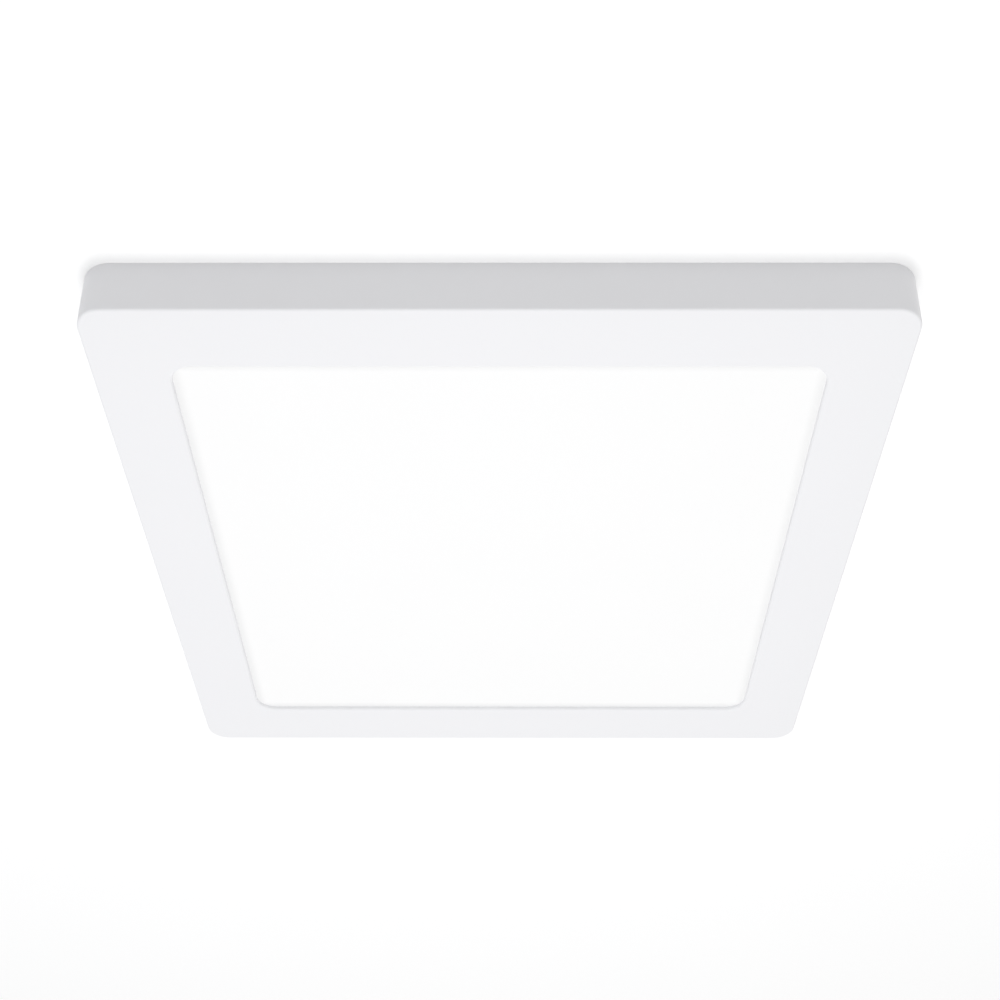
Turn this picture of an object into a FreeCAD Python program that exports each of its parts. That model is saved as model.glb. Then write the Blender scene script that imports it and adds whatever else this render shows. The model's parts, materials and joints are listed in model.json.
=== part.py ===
"""Flush mount ceiling light: a slim square light panel that clips to a steel plate on the ceiling.

Millimetres, +Z up. The origin is the middle of the plane of the ceiling, and the lamp hangs below it.
-Y is the side that the viewer stands at.
"""
import FreeCAD, Part
import math
import os
import re

import Sketcher

Vector = FreeCAD.Vector
Z_AXIS = Vector(0, 0, 1)

# Driving dimensions, in millimetres unless the note says otherwise.
SIZES = {
    # housing
    "rim_width": 300.0,  # square outline at the ceiling
    "frame_height": 22.5,  # from the ceiling down to the face
    "side_flare": 1.6,  # how much further out each side stands at the ceiling than at the face
    "rim_corner_radius": 11.5,
    "wall": 2.0,  # side wall
    "face_thickness": 2.0,
    "face_edge_radius": 1.1,
    "border_width": 30.0,  # of the face, from the rim's line to the window
    "window_corner_radius": 8.8,
    "lip_chamfer": 0.7,
    "boss_width": 7.0,
    "boss_inset": 4.8,  # from the back cover's edge to a boss's middle
    "boss_share": 0.6,  # of the rim's width, between the two bosses along a side
    "pilot_diameter": 2.5,  # across the corners
    "pilot_depth": 6.6,
    "hole_sides": 8,
    "web_thickness": 1.2,
    "web_drop": 1.5,  # from the boss's top down to its web's
    "web_bite": 0.4,  # share of the wall left outside a web's end
    "gusset_bite": 0.6,  # share of the wall left outside a gusset's root
    "rib_middle_gap": 52.0,  # between the two ribs of a side
    "locating_rib_thickness": 1.2,
    "locating_rib_height": 4.0,
    "gusset_end": 12.0,  # from a boss's middle to the nearest gusset
    "gusset_count": 7,
    "gusset_reach": 6.0,
    "gusset_height": 5.0,
    # optical stack
    "diffuser_lap": 14.0,  # how far the diffuser reaches over the face's border
    "diffuser_thickness": 1.5,
    "diffuser_fit": 0.3,  # gap between the diffuser and its ribs
    "guide_inset": 8.0,  # from the diffuser's edge to the light guide's
    "guide_thickness": 4.0,
    "reflector_thickness": 0.3,
    "foam_thickness": 1.5,
    "foam_margin": 2.0,
    "foam_relief": 5.0,  # room left all round each of the driver's hooks
    # light strips
    "chip_gap": 0.4,  # between a chip's face and the edge of the light guide
    "chip_depth": 0.7,
    "chip_length": 3.5,
    "chip_height": 2.8,
    "chip_margin": 7.7,  # from a board's end to the middle of its last chip
    "chip_count": 20,
    "board_thickness": 1.0,
    "board_height": 4.0,
    "board_inset": 0.5,  # how much shorter than the light guide a board is, at each end
    "rail_thickness": 1.2,
    "rail_inset": 1.0,
    "rail_flange": 8.9,
    "rail_lift": 0.1,  # gap between a rail's lower edge and the diffuser
    # back cover
    "cover_thickness": 0.8,
    "cover_clearance": 0.8,
    "cover_hole_diameter": 3.2,
    "bead_height": 1.0,
    "bead_width": 9.0,
    "bead_margin": 55.0,  # from the rim's line to a bead's end
    "bead_place": 50.0,  # from the rim's line to the first bead's centre line
    "bead_spacing": 20.0,  # the second bead lies this much nearer to the rim
    "screw_head_diameter": 5.6,
    "screw_head_height": 1.8,
    "screw_shank_diameter": 2.4,
    "screw_shank_length": 6.5,
    "screw_sides": 8,
    # clip and catch
    "catch_room": 6.0,  # from the plate's end to a catch's upright
    "catch_thickness": 1.0,
    "catch_width": 24.0,
    "catch_height": 7.8,
    "catch_lip": 3.4,
    "catch_foot": 12.0,
    "catch_bend": 1.4,
    "catch_inner_bend": 0.5,
    "clip_thickness": 0.5,
    "clip_width": 16.0,
    "clip_seat_length": 16.0,
    "clip_root_gap": 0.3,  # between the plate's end and the spring's knee
    "clip_bulge": 2.6,  # how far the spring stands out beyond the tip of the catch's lip
    "clip_lip_gap": 0.3,  # between the spring and the lip at rest
    "clip_drop": 4.4,  # from the lip down to the spring's tip
    "clip_knee": 0.3,  # share of the bulge, from the lip's underside up to the knee
    "clip_crest": 0.6,  # share of the bulge, from the lip's gap down to the crest
    "clip_tail": 0.4,  # share of the bulge, from the lip's tip in to the spring's tip
    "clip_bend": 1.0,
    "rivet_diameter": 3.2,
    "rivet_gap": 0.05,  # between a rivet and its hole, across the diameter
    "rivet_sides": 8,
    "rivet_head_diameter": 5.6,
    "rivet_head_height": 1.0,
    "rivet_upset_diameter": 4.8,
    "rivet_upset_height": 0.6,
    # mounting plate
    "plate_length": 196.0,
    "plate_width": 56.0,
    "plate_thickness": 1.2,
    "plate_corner_radius": 4.0,
    "plate_cut_margin": 1.0,  # how far a cut reaches past the plate's edge
    "plate_cut_skin": 0.002,  # keeps the corner cut inside the plate's long sides
    "plate_flange": 6.0,
    "plate_flange_relief": 22.0,  # from the plate's end to its flange's
    "plate_bend": 1.8,
    "tongue_step": 1.4,  # how far the plate's ends are pressed down
    "tongue_length": 19.0,
    "dish_depth": 1.8,
    "cable_dish_diameter": 34.0,
    "cable_hole_diameter": 18.0,
    "slot_spacing": 82.0,
    "slot_length": 20.0,
    "slot_width": 5.2,
    "earth_tab_x": 30.0,
    "earth_tab_y": 15.0,
    "earth_tab_width": 5.0,
    "earth_tab_thickness": 0.8,
    "earth_tab_foot": 6.0,
    "earth_tab_drop": 5.0,
    "grommet_bore": 11.0,
    "grommet_flange_diameter": 22.6,
    "grommet_flange": 1.2,
    # driver
    "driver_x": 10.0,
    "driver_inset": 69.0,  # from the rim's line to the driver's long middle line
    "driver_length": 118.0,
    "driver_width": 40.0,
    "driver_height": 11.0,
    "driver_wall": 1.2,
    "driver_corner_radius": 3.0,
    "driver_lid": 1.2,
    "driver_lid_rib_length": 100.0,
    "driver_lid_rib_height": 1.0,
    "driver_fit": 0.2,
    "hook_inset": 4.0,  # from the driver's end to a hook's inner face
    "hook_width": 8.0,
    "hook_thickness": 1.6,
    "hook_barb": 0.8,
    "hook_length": 1.1,  # below the back cover
    "hook_gap": 0.05,
    "driver_vents": 8,
    "driver_vent_pitch": 6.0,
    "driver_vent_width": 2.4,
    "driver_vent_margin": 1.5,  # what a vent leaves of the wall's open height
    "port_gap": 0.1,  # all round a wire in its square port
    "driver_stand": 4.0,
    "driver_board_lift": 0.5,
    "driver_board_thickness": 1.0,
    "driver_board_gap": 0.6,
    "transformer_length": 16.0,
    "transformer_width": 14.0,
    "transformer_height": 6.4,
    "winding_length": 8.0,
    "winding_width": 18.0,
    "winding_height": 5.2,
    "capacitor_diameter": 6.3,
    "capacitor_length": 15.0,
    "choke_width": 9.0,
    "choke_height": 6.0,
    "rectifier_length": 8.0,
    "rectifier_width": 6.0,
    "rectifier_height": 2.6,
    "small_parts_along": 0.25,  # share of the driver's length, from its middle to its small parts
    "small_parts_aside": 0.2,  # share of its width, from its middle line to its small parts
    "capacitor_along": 0.3,  # the same two shares for its capacitors
    "capacitor_aside": 0.25,
    # terminal block
    "terminal_inset": 58.0,  # from the rim's line to the block's middle
    "terminal_step": 19.0,  # how far the block sits in front of the driver's middle line
    "terminal_length": 34.0,
    "terminal_depth": 20.0,
    "terminal_height": 9.6,
    "terminal_ramp": 3.0,
    "terminal_foot": 0.8,
    "terminal_foot_size": 3.0,
    "terminal_foot_spacing": 24.0,
    "foot_gap": 0.1,
    "pole_pitch": 10.0,
    "pole_bore_diameter": 3.4,
    "pole_bore_depth": 6.0,
    "pole_bore_height": 4.2,
    "pole_well_depth": 6.0,  # the square holes in the back, for the inner wires
    "button_length": 5.0,
    "button_depth": 7.0,
    "button_height": 5.0,
    "button_rise": 1.1,
    "button_gap": 0.2,
    "button_travel": 1.0,
    "button_slot_width": 1.0,
    "button_slot_depth": 0.6,
    # inner wires
    "wire_diameter": 2.0,
    "wire_bend": 7.0,
    "wire_end_gap": 0.2,  # from a wire's end to the bottom of its hole
    "wire_step": 4.6,  # between the live and the neutral wire where they run side by side
    "blade_step_x": 32.0,  # from the terminal block's middle to where the earth blade rises
    "blade_step_y": 11.0,  # from the driver's middle line back to the blade's
    "blade_thickness": 0.8,
    "blade_width": 4.8,
    "blade_length": 7.0,
    "blade_foot": 5.0,
    "blade_rise": 1.4,  # the gap under the blade
    "socket_wall": 0.5,
    "socket_gap": 0.05,
    "socket_overlap": 5.0,
    "crimp_length": 3.6,
    "lead_diameter": 2.6,
    "lead_bend": 14.0,
    "lead_turn_x": 22.0,  # from the hole back to where the lead leaves the driver's line
    "lead_turn_y": 24.0,  # from the hole back to where it turns to run along the side
    "lead_drop_bend": 5.2,  # where it turns down to its hole
    "lead_depth": 3.0,  # from the top of the driver's tray to the lead's middle
    "lead_hole_step": 2.4,  # from the back of the light strips to the lead's hole, both ways
    "lead_hole_width": 6.4,
    "lead_grommet_flange": 8.4,
    "lead_grommet_lip": 0.8,
    "connector_size": 6.0,
    "connector_height": 3.6,
    "connector_step": 0.2,  # from the lead's middle out to the connector's
    "contact_height": 1.6,
    "contact_inset": 0.2,
}

# Sizes that follow from the driving ones.
DERIVED = {
    "draft": "atan(side_flare / frame_height)",
    "rim_half": "rim_width / 2",
    "window_width": "rim_width - 2 * border_width",
    "diffuser_width": "window_width + 2 * diffuser_lap",
    "guide_width": "diffuser_width - 2 * guide_inset",
    "board_length": "guide_width - 2 * board_inset",
    "rail_length": "guide_width - 2 * rail_inset",
    "boss_spacing": "rim_width * boss_share",
    "rib_length": "guide_width / 3",
    "rib_offset": "(rib_middle_gap + rib_length) / 2",
    "gusset_spacing": "(boss_spacing - 2 * gusset_end) / (gusset_count - 1)",
    "chip_pitch": "(board_length - 2 * chip_margin) / (chip_count - 1)",
    "bead_length": "rim_width - 2 * bead_margin",
    "bead_offset": "rim_half - bead_place",
    "catch_position": "plate_length / 2 + catch_room",
    "plate_flange_length": "plate_length - 2 * plate_flange_relief",
    "driver_y": "rim_half - driver_inset",
    "terminal_x": "terminal_inset - rim_half",
    "terminal_y": "driver_y - terminal_step",
    "blade_x": "terminal_x - blade_step_x",
    "blade_y": "driver_y + blade_step_y",
    "cavity_width": "rim_width - 2 * wall / cos(draft)",
    "face_level": "-frame_height",
    "face_inner": "face_level + face_thickness",
    "diffuser_top": "face_inner + diffuser_thickness",
    "guide_top": "diffuser_top + guide_thickness",
    "reflector_top": "guide_top + reflector_thickness",
    "cover_level": "reflector_top + foam_thickness",
    "cover_top": "cover_level + cover_thickness",
    "cover_width": "cavity_width + 2 * cover_level * side_flare / frame_height - 2 * cover_clearance",
    "boss_reach": "cover_width / 2 - boss_inset",
    "web_end": "rim_half - side_flare - wall * web_bite",
    "rib_start": "diffuser_width / 2 + diffuser_fit",
    "gusset_root": "rim_half - side_flare - wall * gusset_bite",
    "chip_reach": "guide_width / 2 + chip_gap",
    "board_reach": "chip_reach + chip_depth",
    "rail_reach": "board_reach + board_thickness",
    "lead_hole": "rail_reach + lead_hole_step",
    "rail_foot": "diffuser_top + rail_lift",
    "guide_middle": "diffuser_top + guide_thickness / 2",
    "catch_lip_top": "cover_top + catch_height",
    "catch_lip_tip": "catch_position - catch_lip",
    "plate_level": "-plate_thickness",
    "dish_level": "plate_level - dish_depth",
    "tongue_level": "plate_level - tongue_step",
    "spring_rivet_x": "plate_length / 2 - clip_seat_length / 2",
    "driver_top": "cover_top + driver_height",
    "driver_case_top": "driver_top - driver_lid",
    "driver_floor": "cover_top + driver_wall",
    "hook_x": "driver_length / 2 - hook_inset",
    "hook_foot": "cover_level - hook_length",
    "driver_board_level": "driver_floor + driver_board_lift",
    "parts_level": "driver_board_level + driver_board_thickness",
    "terminal_top": "cover_top + terminal_height",
    "terminal_front": "terminal_y - terminal_depth / 2",
    "terminal_back": "terminal_y + terminal_depth / 2",
    "pole_level": "cover_top + pole_bore_height",
    "connector_middle": "lead_hole + connector_step",
    "button_top": "terminal_top + button_rise",
    "button_foot": "button_top - button_height",
    "lead_level": "driver_case_top - lead_depth",
    "blade_level": "cover_top + blade_rise + blade_thickness / 2",
    "socket_start": "blade_x + blade_length - socket_overlap",
    "socket_end": "blade_x + blade_length + socket_wall",
    "socket_half": "blade_width / 2 + socket_gap + socket_wall",
    "socket_rise": "blade_thickness / 2 + socket_gap + socket_wall",
}

POLES = {"earth": -1, "neutral": 0, "live": 1}
TUBE_SIDES = 6
SLOT_END = 0.001  # straight length left in a slot's round end
SAME = 0.01  # two places nearer than this are one
SIDES = {"right": 0, "rear": 90, "left": 180, "front": 270}

doc = FreeCAD.newDocument("ceiling_light")


# Sheets and formulas


def sheet_of(name, cells):
    """Make a spreadsheet with one named cell a row."""
    sheet = doc.addObject("Spreadsheet::Sheet", name)
    for row, (alias, content) in enumerate(cells.items(), 1):
        sheet.set(f"A{row}", alias)
        sheet.set(f"B{row}", content)
        sheet.setAlias(f"B{row}", alias)
    return sheet


def formula(text):
    """Point each name in a formula at its cell."""

    def cell(match):
        word = match.group(0)
        if word in SIZES:
            return "Sizes." + word
        if word in DERIVED:
            return "Derived." + word
        return word

    return re.sub(r"[a-z]\w*", cell, text)


sizes = sheet_of("Sizes", {alias: str(value) for alias, value in SIZES.items()})
derived = sheet_of("Derived", {alias: "=" + formula(text) for alias, text in DERIVED.items()})
doc.recompute()


def number(text):
    """The present value of a formula."""
    result = sizes.evalExpression(formula(text))
    return float(getattr(result, "Value", result))


def bind(thing, **formulas):
    for path, text in formulas.items():
        thing.setExpression(path, formula(text))


# Bodies and sketches


def new_body(label):
    body = doc.addObject("PartDesign::Body", label)
    body.Label = label
    return body


def origin_part(body, role):
    return next(part for part in body.Origin.OriginFeatures if part.Role == role)


def new_sketch(body, name, role="XY_Plane", offset="0"):
    """A sketch on one of the body's own origin planes, moved along the plane's normal."""
    sketch = body.newObject("Sketcher::SketchObject", f"{body.Label}_{name}")
    sketch.AttachmentSupport = [(origin_part(body, role), "")]
    sketch.MapMode = "FlatFace"
    sketch.setExpression("AttachmentOffset.Base.z", formula(offset))
    return sketch


def dimension(sketch, kind, places, text):
    """Add one dimension and bind it to its formula."""
    index = sketch.addConstraint(Sketcher.Constraint(kind, *places, number(text)))
    sketch.setExpression(f"Constraints[{index}]", formula(text))


def place_point(sketch, geometry, point, x, y):
    dimension(sketch, "DistanceX", (-1, 1, geometry, point), x)
    dimension(sketch, "DistanceY", (-1, 1, geometry, point), y)


def polygon(sketch, corners):
    """A closed outline of straight lines through corners given as pairs of formulas."""
    points = [Vector(number(x), number(y), 0) for x, y in corners]
    first = sketch.GeometryCount
    count = len(points)
    for index, point in enumerate(points):
        sketch.addGeometry(Part.LineSegment(point, points[(index + 1) % count]), False)
    for index, (x, y) in enumerate(corners):
        after = first + (index - 1) % count
        sketch.addConstraint(Sketcher.Constraint("Coincident", after, 2, first + index, 1))
        place_point(sketch, first + index, 1, x, y)


def rectangle(sketch, left, right, low, high):
    polygon(sketch, [(left, low), (right, low), (right, high), (left, high)])


def centred(sketch, width, depth, x="0", y="0"):
    """A plain rectangle about a middle."""
    rectangle(sketch, f"({x}) - ({width}) / 2", f"({x}) + ({width}) / 2", f"({y}) - ({depth}) / 2",
              f"({y}) + ({depth}) / 2")


def circle(sketch, diameter, x="0", y="0"):
    middle = Vector(number(x), number(y), 0)
    index = sketch.addGeometry(Part.Circle(middle, Z_AXIS, number(diameter) / 2), False)
    place_point(sketch, index, 3, x, y)
    dimension(sketch, "Diameter", (index,), diameter)


def many_sided(sketch, sides, diameter, x, y):
    """A regular outline inside a circle, for the round stock of a small fastener."""
    count = round(number(sides))
    turns = [360 * (step + 0.5) / count for step in range(count)]
    polygon(sketch, [
        (f"({x}) + ({diameter}) / 2 * cos({turn})", f"({y}) + ({diameter}) / 2 * sin({turn})")
        for turn in turns
    ])


def rounded_rectangle(sketch, width, depth, radius, x="0", y="0"):
    """A rectangle with round corners about a middle, as four lines and four arcs in turn."""
    half_x = number(width) / 2
    half_y = number(depth) / 2
    round_ = number(radius)
    middle = Vector(number(x), number(y), 0)
    first = sketch.GeometryCount
    for turn in range(4):
        along, across = (half_x, half_y) if turn % 2 == 0 else (half_y, half_x)
        spin = FreeCAD.Rotation(Z_AXIS, 90 * turn)
        start = middle + spin.multVec(Vector(round_ - along, -across, 0))
        end = middle + spin.multVec(Vector(along - round_, -across, 0))
        corner = middle + spin.multVec(Vector(along - round_, round_ - across, 0))
        sketch.addGeometry(Part.LineSegment(start, end), False)
        bend = Part.Circle(corner, Z_AXIS, round_)
        angle = math.radians(90 * turn - 90)
        sketch.addGeometry(Part.ArcOfCircle(bend, angle, angle + math.pi / 2), False)
    for step in range(8):
        here = first + step
        there = first + (step + 1) % 8
        sketch.addConstraint(Sketcher.Constraint("Tangent", here, 2, there, 1))
    for step, kind in enumerate(("Horizontal", "Vertical", "Horizontal", "Vertical")):
        sketch.addConstraint(Sketcher.Constraint(kind, first + 2 * step))
    for step in (3, 5, 7):
        sketch.addConstraint(Sketcher.Constraint("Equal", first + 1, first + step))
    dimension(sketch, "Radius", (first + 1,), radius)
    dimension(sketch, "DistanceX", (-1, 1, first + 2, 1), f"({x}) + ({width}) / 2")
    dimension(sketch, "DistanceX", (-1, 1, first + 6, 1), f"({x}) - ({width}) / 2")
    dimension(sketch, "DistanceY", (-1, 1, first, 1), f"({y}) - ({depth}) / 2")
    dimension(sketch, "DistanceY", (-1, 1, first + 4, 1), f"({y}) + ({depth}) / 2")


def slot(sketch, length, width, x="0", y="0"):
    """A slot along X whose ends are half circles."""
    rounded_rectangle(sketch, length, width, f"({width}) / 2 - {SLOT_END}", x, y)


# Features


def pad(body, name, sketch, length, down=False, both_ways=False, taper=None):
    feature = body.newObject("PartDesign::Pad", f"{body.Label}_{name}")
    feature.Profile = sketch
    feature.Reversed = down
    feature.SideType = "Symmetric" if both_ways else "One side"
    bind(feature, Length=length)
    if taper:
        bind(feature, TaperAngle=taper)
    doc.recompute()
    return feature


def pocket(body, name, sketch, depth, up=False, both_ways=False, taper=None):
    """Cut a sketch away, against the plane's normal unless up is set, and check that it cut."""
    before = body.Shape.Volume
    feature = body.newObject("PartDesign::Pocket", f"{body.Label}_{name}")
    feature.Profile = sketch
    feature.Reversed = up
    feature.SideType = "Symmetric" if both_ways else "One side"
    bind(feature, Length=depth)
    if taper:
        bind(feature, TaperAngle=taper)
    doc.recompute()
    if body.Shape.Volume >= before:
        raise RuntimeError(f"{feature.Name} cuts nothing")
    return feature


def revolve(body, name, sketch):
    feature = body.newObject("PartDesign::Revolution", f"{body.Label}_{name}")
    feature.Profile = sketch
    feature.ReferenceAxis = (sketch, ["V_Axis"])
    feature.Angle = 360
    doc.recompute()
    return feature


def soften(body, name, kind, size, wanted):
    """Round or chamfer the edges of the body so far that the test picks out."""
    base = body.Tip
    edges = [f"Edge{i}" for i, edge in enumerate(base.Shape.Edges, 1) if wanted(edge)]
    if not edges:
        raise RuntimeError(f"{body.Label} has no edge for {name}")
    feature = body.newObject(f"PartDesign::{kind}", f"{body.Label}_{name}")
    feature.Base = (base, edges)
    bind(feature, **{"Radius" if kind == "Fillet" else "Size": size})
    doc.recompute()
    return feature


def round_pattern(body, name, features, count=4):
    """Repeat features about the vertical axis."""
    feature = body.newObject("PartDesign::PolarPattern", f"{body.Label}_{name}")
    feature.Originals = features
    feature.Axis = (origin_part(body, "Z_Axis"), [""])
    feature.Angle = 360
    feature.Occurrences = count
    body.Tip = feature
    doc.recompute()
    return feature


def row_pattern(body, name, features, role, length, count):
    """Repeat features along an axis over a length."""
    feature = body.newObject("PartDesign::LinearPattern", f"{body.Label}_{name}")
    feature.Originals = features
    feature.Direction = (origin_part(body, role), [""])
    bind(feature, Length=length, Occurrences=count)
    body.Tip = feature
    doc.recompute()
    return feature


def level_edge(edge, level):
    """Whether an edge lies flat at a level."""
    box = edge.BoundBox
    return abs(box.ZMax - level) < SAME and abs(box.ZMin - level) < SAME


def edge_reach(edge):
    """How far from the middle an edge's farther side is, along X or Y."""
    box = edge.BoundBox
    return max(box.XMax, box.YMax, -box.XMin, -box.YMin)


def bend_edge(edge, corners):
    """Whether an edge runs along Y at one of the corners, given as pairs of x and z."""
    box = edge.BoundBox
    if box.XLength > SAME or box.ZLength > SAME:
        return False
    return any(abs(box.XMin - x) < SAME and abs(box.ZMin - z) < SAME for x, z in corners)


def plain_pad(label, length, base, outline, *numbers):
    """A body that is one outline padded upward from a level."""
    body = new_body(label)
    sketch = new_sketch(body, "outline", offset=base)
    outline(sketch, *numbers)
    pad(body, "sheet", sketch, length)
    return body


# Housing


def boss_places():
    """The middles of the bosses of one side of the housing."""
    return [("boss_reach", "boss_spacing / 2"), ("boss_reach", "-boss_spacing / 2")]


def boss_holes(body, name, diameter, level):
    """A small hole over each boss of one side, many-sided because there are so many of them."""
    sketch = new_sketch(body, name, offset=level)
    for x, y in boss_places():
        many_sided(sketch, "hole_sides", diameter, x, y)
    return sketch


def housing_frame():
    """The moulded shell: drafted skirt, window, bosses with webs, locating ribs and gussets."""
    body = new_body("housing_frame")
    outline = new_sketch(body, "outline")
    rounded_rectangle(outline, "rim_width", "rim_width", "rim_corner_radius")
    pad(body, "block", outline, "frame_height", down=True, taper="-draft")

    cavity = new_sketch(body, "cavity_outline")
    rounded_rectangle(cavity, "cavity_width", "cavity_width", "rim_corner_radius - wall")
    pocket(body, "cavity", cavity, "frame_height - face_thickness", taper="-draft")

    window = new_sketch(body, "window_outline", offset="face_inner")
    rounded_rectangle(window, "window_width", "window_width", "window_corner_radius")
    pocket(body, "window", window, "face_thickness")

    face = number("face_level")
    border = number("(window_width / 2 + rim_half) / 2")
    soften(body, "face_edge", "Fillet", "face_edge_radius",
           lambda edge: level_edge(edge, face) and edge_reach(edge) > border)
    soften(body, "lip_edge", "Chamfer", "lip_chamfer",
           lambda edge: level_edge(edge, face) and edge_reach(edge) < border)

    towers = new_sketch(body, "boss_outline", offset="face_inner")
    for x, y in boss_places():
        centred(towers, "boss_width", "boss_width", x, y)
    bosses = pad(body, "bosses", towers, "cover_level - face_inner")
    webs = new_sketch(body, "web_outline", offset="face_inner")
    for sign in ("", "-"):
        middle = f"{sign}boss_spacing / 2"
        rectangle(webs, "boss_reach", "web_end", f"{middle} - web_thickness / 2",
                  f"{middle} + web_thickness / 2")
    webs = pad(body, "webs", webs, "cover_level - face_inner - web_drop")
    ribs = new_sketch(body, "rib_outline", offset="face_inner")
    for sign in ("", "-"):
        middle = f"{sign}rib_offset"
        rectangle(ribs, "rib_start", "rib_start + locating_rib_thickness",
                  f"{middle} - rib_length / 2", f"{middle} + rib_length / 2")
    ribs = pad(body, "ribs", ribs, "locating_rib_height")
    pilots = boss_holes(body, "pilot_outline", "pilot_diameter", "cover_level")
    pilots = pocket(body, "pilots", pilots, "pilot_depth")
    round_pattern(body, "quarters", [bosses, webs, ribs, pilots])

    gusset = new_sketch(body, "gusset_outline", "XZ_Plane", "gusset_spacing * (gusset_count - 1) / 2")
    polygon(gusset, [
        ("gusset_root - gusset_reach", "face_inner"),
        ("gusset_root", "face_inner"),
        ("gusset_root", "face_inner + gusset_height"),
    ])
    gusset = pad(body, "gusset", gusset, "web_thickness", both_ways=True)
    gussets = body.newObject("PartDesign::MultiTransform", "housing_frame_gussets")
    gussets.Originals = [gusset]
    row = body.newObject("PartDesign::LinearPattern", "housing_frame_gusset_row")
    row.Direction = (origin_part(body, "Y_Axis"), [""])
    bind(row, Length="gusset_spacing * (gusset_count - 1)", Occurrences="gusset_count")
    turn = body.newObject("PartDesign::PolarPattern", "housing_frame_gusset_turn")
    turn.Axis = (origin_part(body, "Z_Axis"), [""])
    turn.Angle = 360
    turn.Occurrences = 4
    gussets.Transformations = [row, turn]
    body.Tip = gussets
    doc.recompute()


# Optical stack


def diffuser():
    plain_pad("diffuser", "diffuser_thickness", "face_inner", centred, "diffuser_width", "diffuser_width")


def light_guide_plate():
    plain_pad("light_guide_plate", "guide_thickness", "diffuser_top", centred, "guide_width",
              "guide_width")


def reflector_sheet():
    plain_pad("reflector_sheet", "reflector_thickness", "guide_top", centred, "guide_width",
              "guide_width")


def foam_backing_pad():
    """The foam between the reflector and the back cover, cut out round the driver's hooks."""
    side = "guide_width - 2 * foam_margin"
    body = plain_pad("foam_backing_pad", "foam_thickness", "reflector_top", centred, side, side)
    reliefs = new_sketch(body, "relief_outline", offset="cover_level")
    for sign in ("-", "+"):
        centred(reliefs, "hook_thickness + 2 * foam_relief", "hook_width + 2 * foam_relief",
                f"driver_x {sign} hook_x", "driver_y")
    pocket(body, "reliefs", reliefs, "foam_thickness")


# Light strips


def turned(body, angle):
    body.Placement = FreeCAD.Placement(Vector(0, 0, 0), FreeCAD.Rotation(Z_AXIS, angle))


def led_rail(side, angle):
    """The aluminium angle that carries a strip and meets the back cover."""
    body = new_body(f"led_rail_{side}")
    profile = new_sketch(body, "profile", "XZ_Plane")
    inner = "rail_reach + rail_thickness"
    polygon(profile, [
        ("rail_reach", "rail_foot"),
        (inner, "rail_foot"),
        (inner, "cover_level - rail_thickness"),
        ("rail_reach + rail_flange", "cover_level - rail_thickness"),
        ("rail_reach + rail_flange", "cover_level"),
        ("rail_reach", "cover_level"),
    ])
    pad(body, "angle", profile, "rail_length", both_ways=True)
    turned(body, angle)


def led_board(side, angle):
    body = new_body(f"led_board_{side}")
    outline = new_sketch(body, "outline", offset="rail_foot")
    rectangle(outline, "board_reach", "rail_reach", "-board_length / 2", "board_length / 2")
    pad(body, "strip", outline, "board_height")
    turned(body, angle)


def led_chips(side, angle):
    body = new_body(f"led_chips_{side}")
    row = "chip_pitch * (chip_count - 1)"
    outline = new_sketch(body, "outline", offset="guide_middle - chip_height / 2")
    rectangle(outline, "chip_reach", "board_reach", f"-{row} / 2 - chip_length / 2",
              f"-{row} / 2 + chip_length / 2")
    chip = pad(body, "chip", outline, "chip_height")
    row_pattern(body, "row", [chip], "Y_Axis", row, "chip_count")
    turned(body, angle)


# Back cover


def back_cover():
    """The steel sheet that closes the housing, with its beads and holes."""
    body = new_body("back_cover")
    outline = new_sketch(body, "outline", offset="cover_level")
    rounded_rectangle(outline, "cover_width", "cover_width",
                      "rim_corner_radius - wall - cover_clearance")
    pad(body, "sheet", outline, "cover_thickness")
    for index in range(2):
        place = f"-bead_offset - {index} * bead_spacing"
        for name, level, inset, cut in (("raise", "cover_top", "0", False),
                                        ("hollow", "cover_level", "2 * cover_thickness", True)):
            bead = new_sketch(body, f"bead_{name}_{index}", offset=level)
            slot(bead, f"bead_length - {inset}", f"bead_width - {inset}", "0", place)
            if cut:
                pocket(body, f"bead_{name}_cut_{index}", bead, "bead_height", up=True)
            else:
                pad(body, f"bead_{name}_pad_{index}", bead, "bead_height")
    holes = boss_holes(body, "screw_hole_outline", "cover_hole_diameter", "cover_top")
    holes = pocket(body, "screw_holes", holes, "cover_thickness")
    round_pattern(body, "screw_hole_quarters", [holes])
    small = new_sketch(body, "small_outline", offset="cover_top")
    for sign in ("-", "+"):
        middle = f"(driver_x {sign} (hook_x + hook_thickness / 2))"
        centred(small, "hook_thickness + 2 * hook_gap", "hook_width + 2 * hook_gap", middle, "driver_y")
    centred(small, "lead_hole_width", "lead_hole_width", "lead_hole", "lead_hole")
    for sign in ("+", "-"):
        centred(small, "terminal_foot_size + 2 * foot_gap", "terminal_foot_size + 2 * foot_gap",
                f"terminal_x {sign} terminal_foot_spacing / 2", "terminal_y")
    pocket(body, "small_holes", small, "cover_thickness")


def cover_screws():
    """Pan head screws, as plain many-sided heads and shanks."""
    body = new_body("cover_screws")
    made = []
    for name, diameter, height, down in (
        ("head", "screw_head_diameter", "screw_head_height", False),
        ("shank", "screw_shank_diameter", "screw_shank_length", True),
    ):
        outline = new_sketch(body, f"{name}_outline", offset="cover_top")
        for x, y in boss_places():
            many_sided(outline, "screw_sides", diameter, x, y)
        made.append(pad(body, f"{name}s", outline, height, down=down))
    round_pattern(body, "quarters", made)


# Driver


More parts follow.
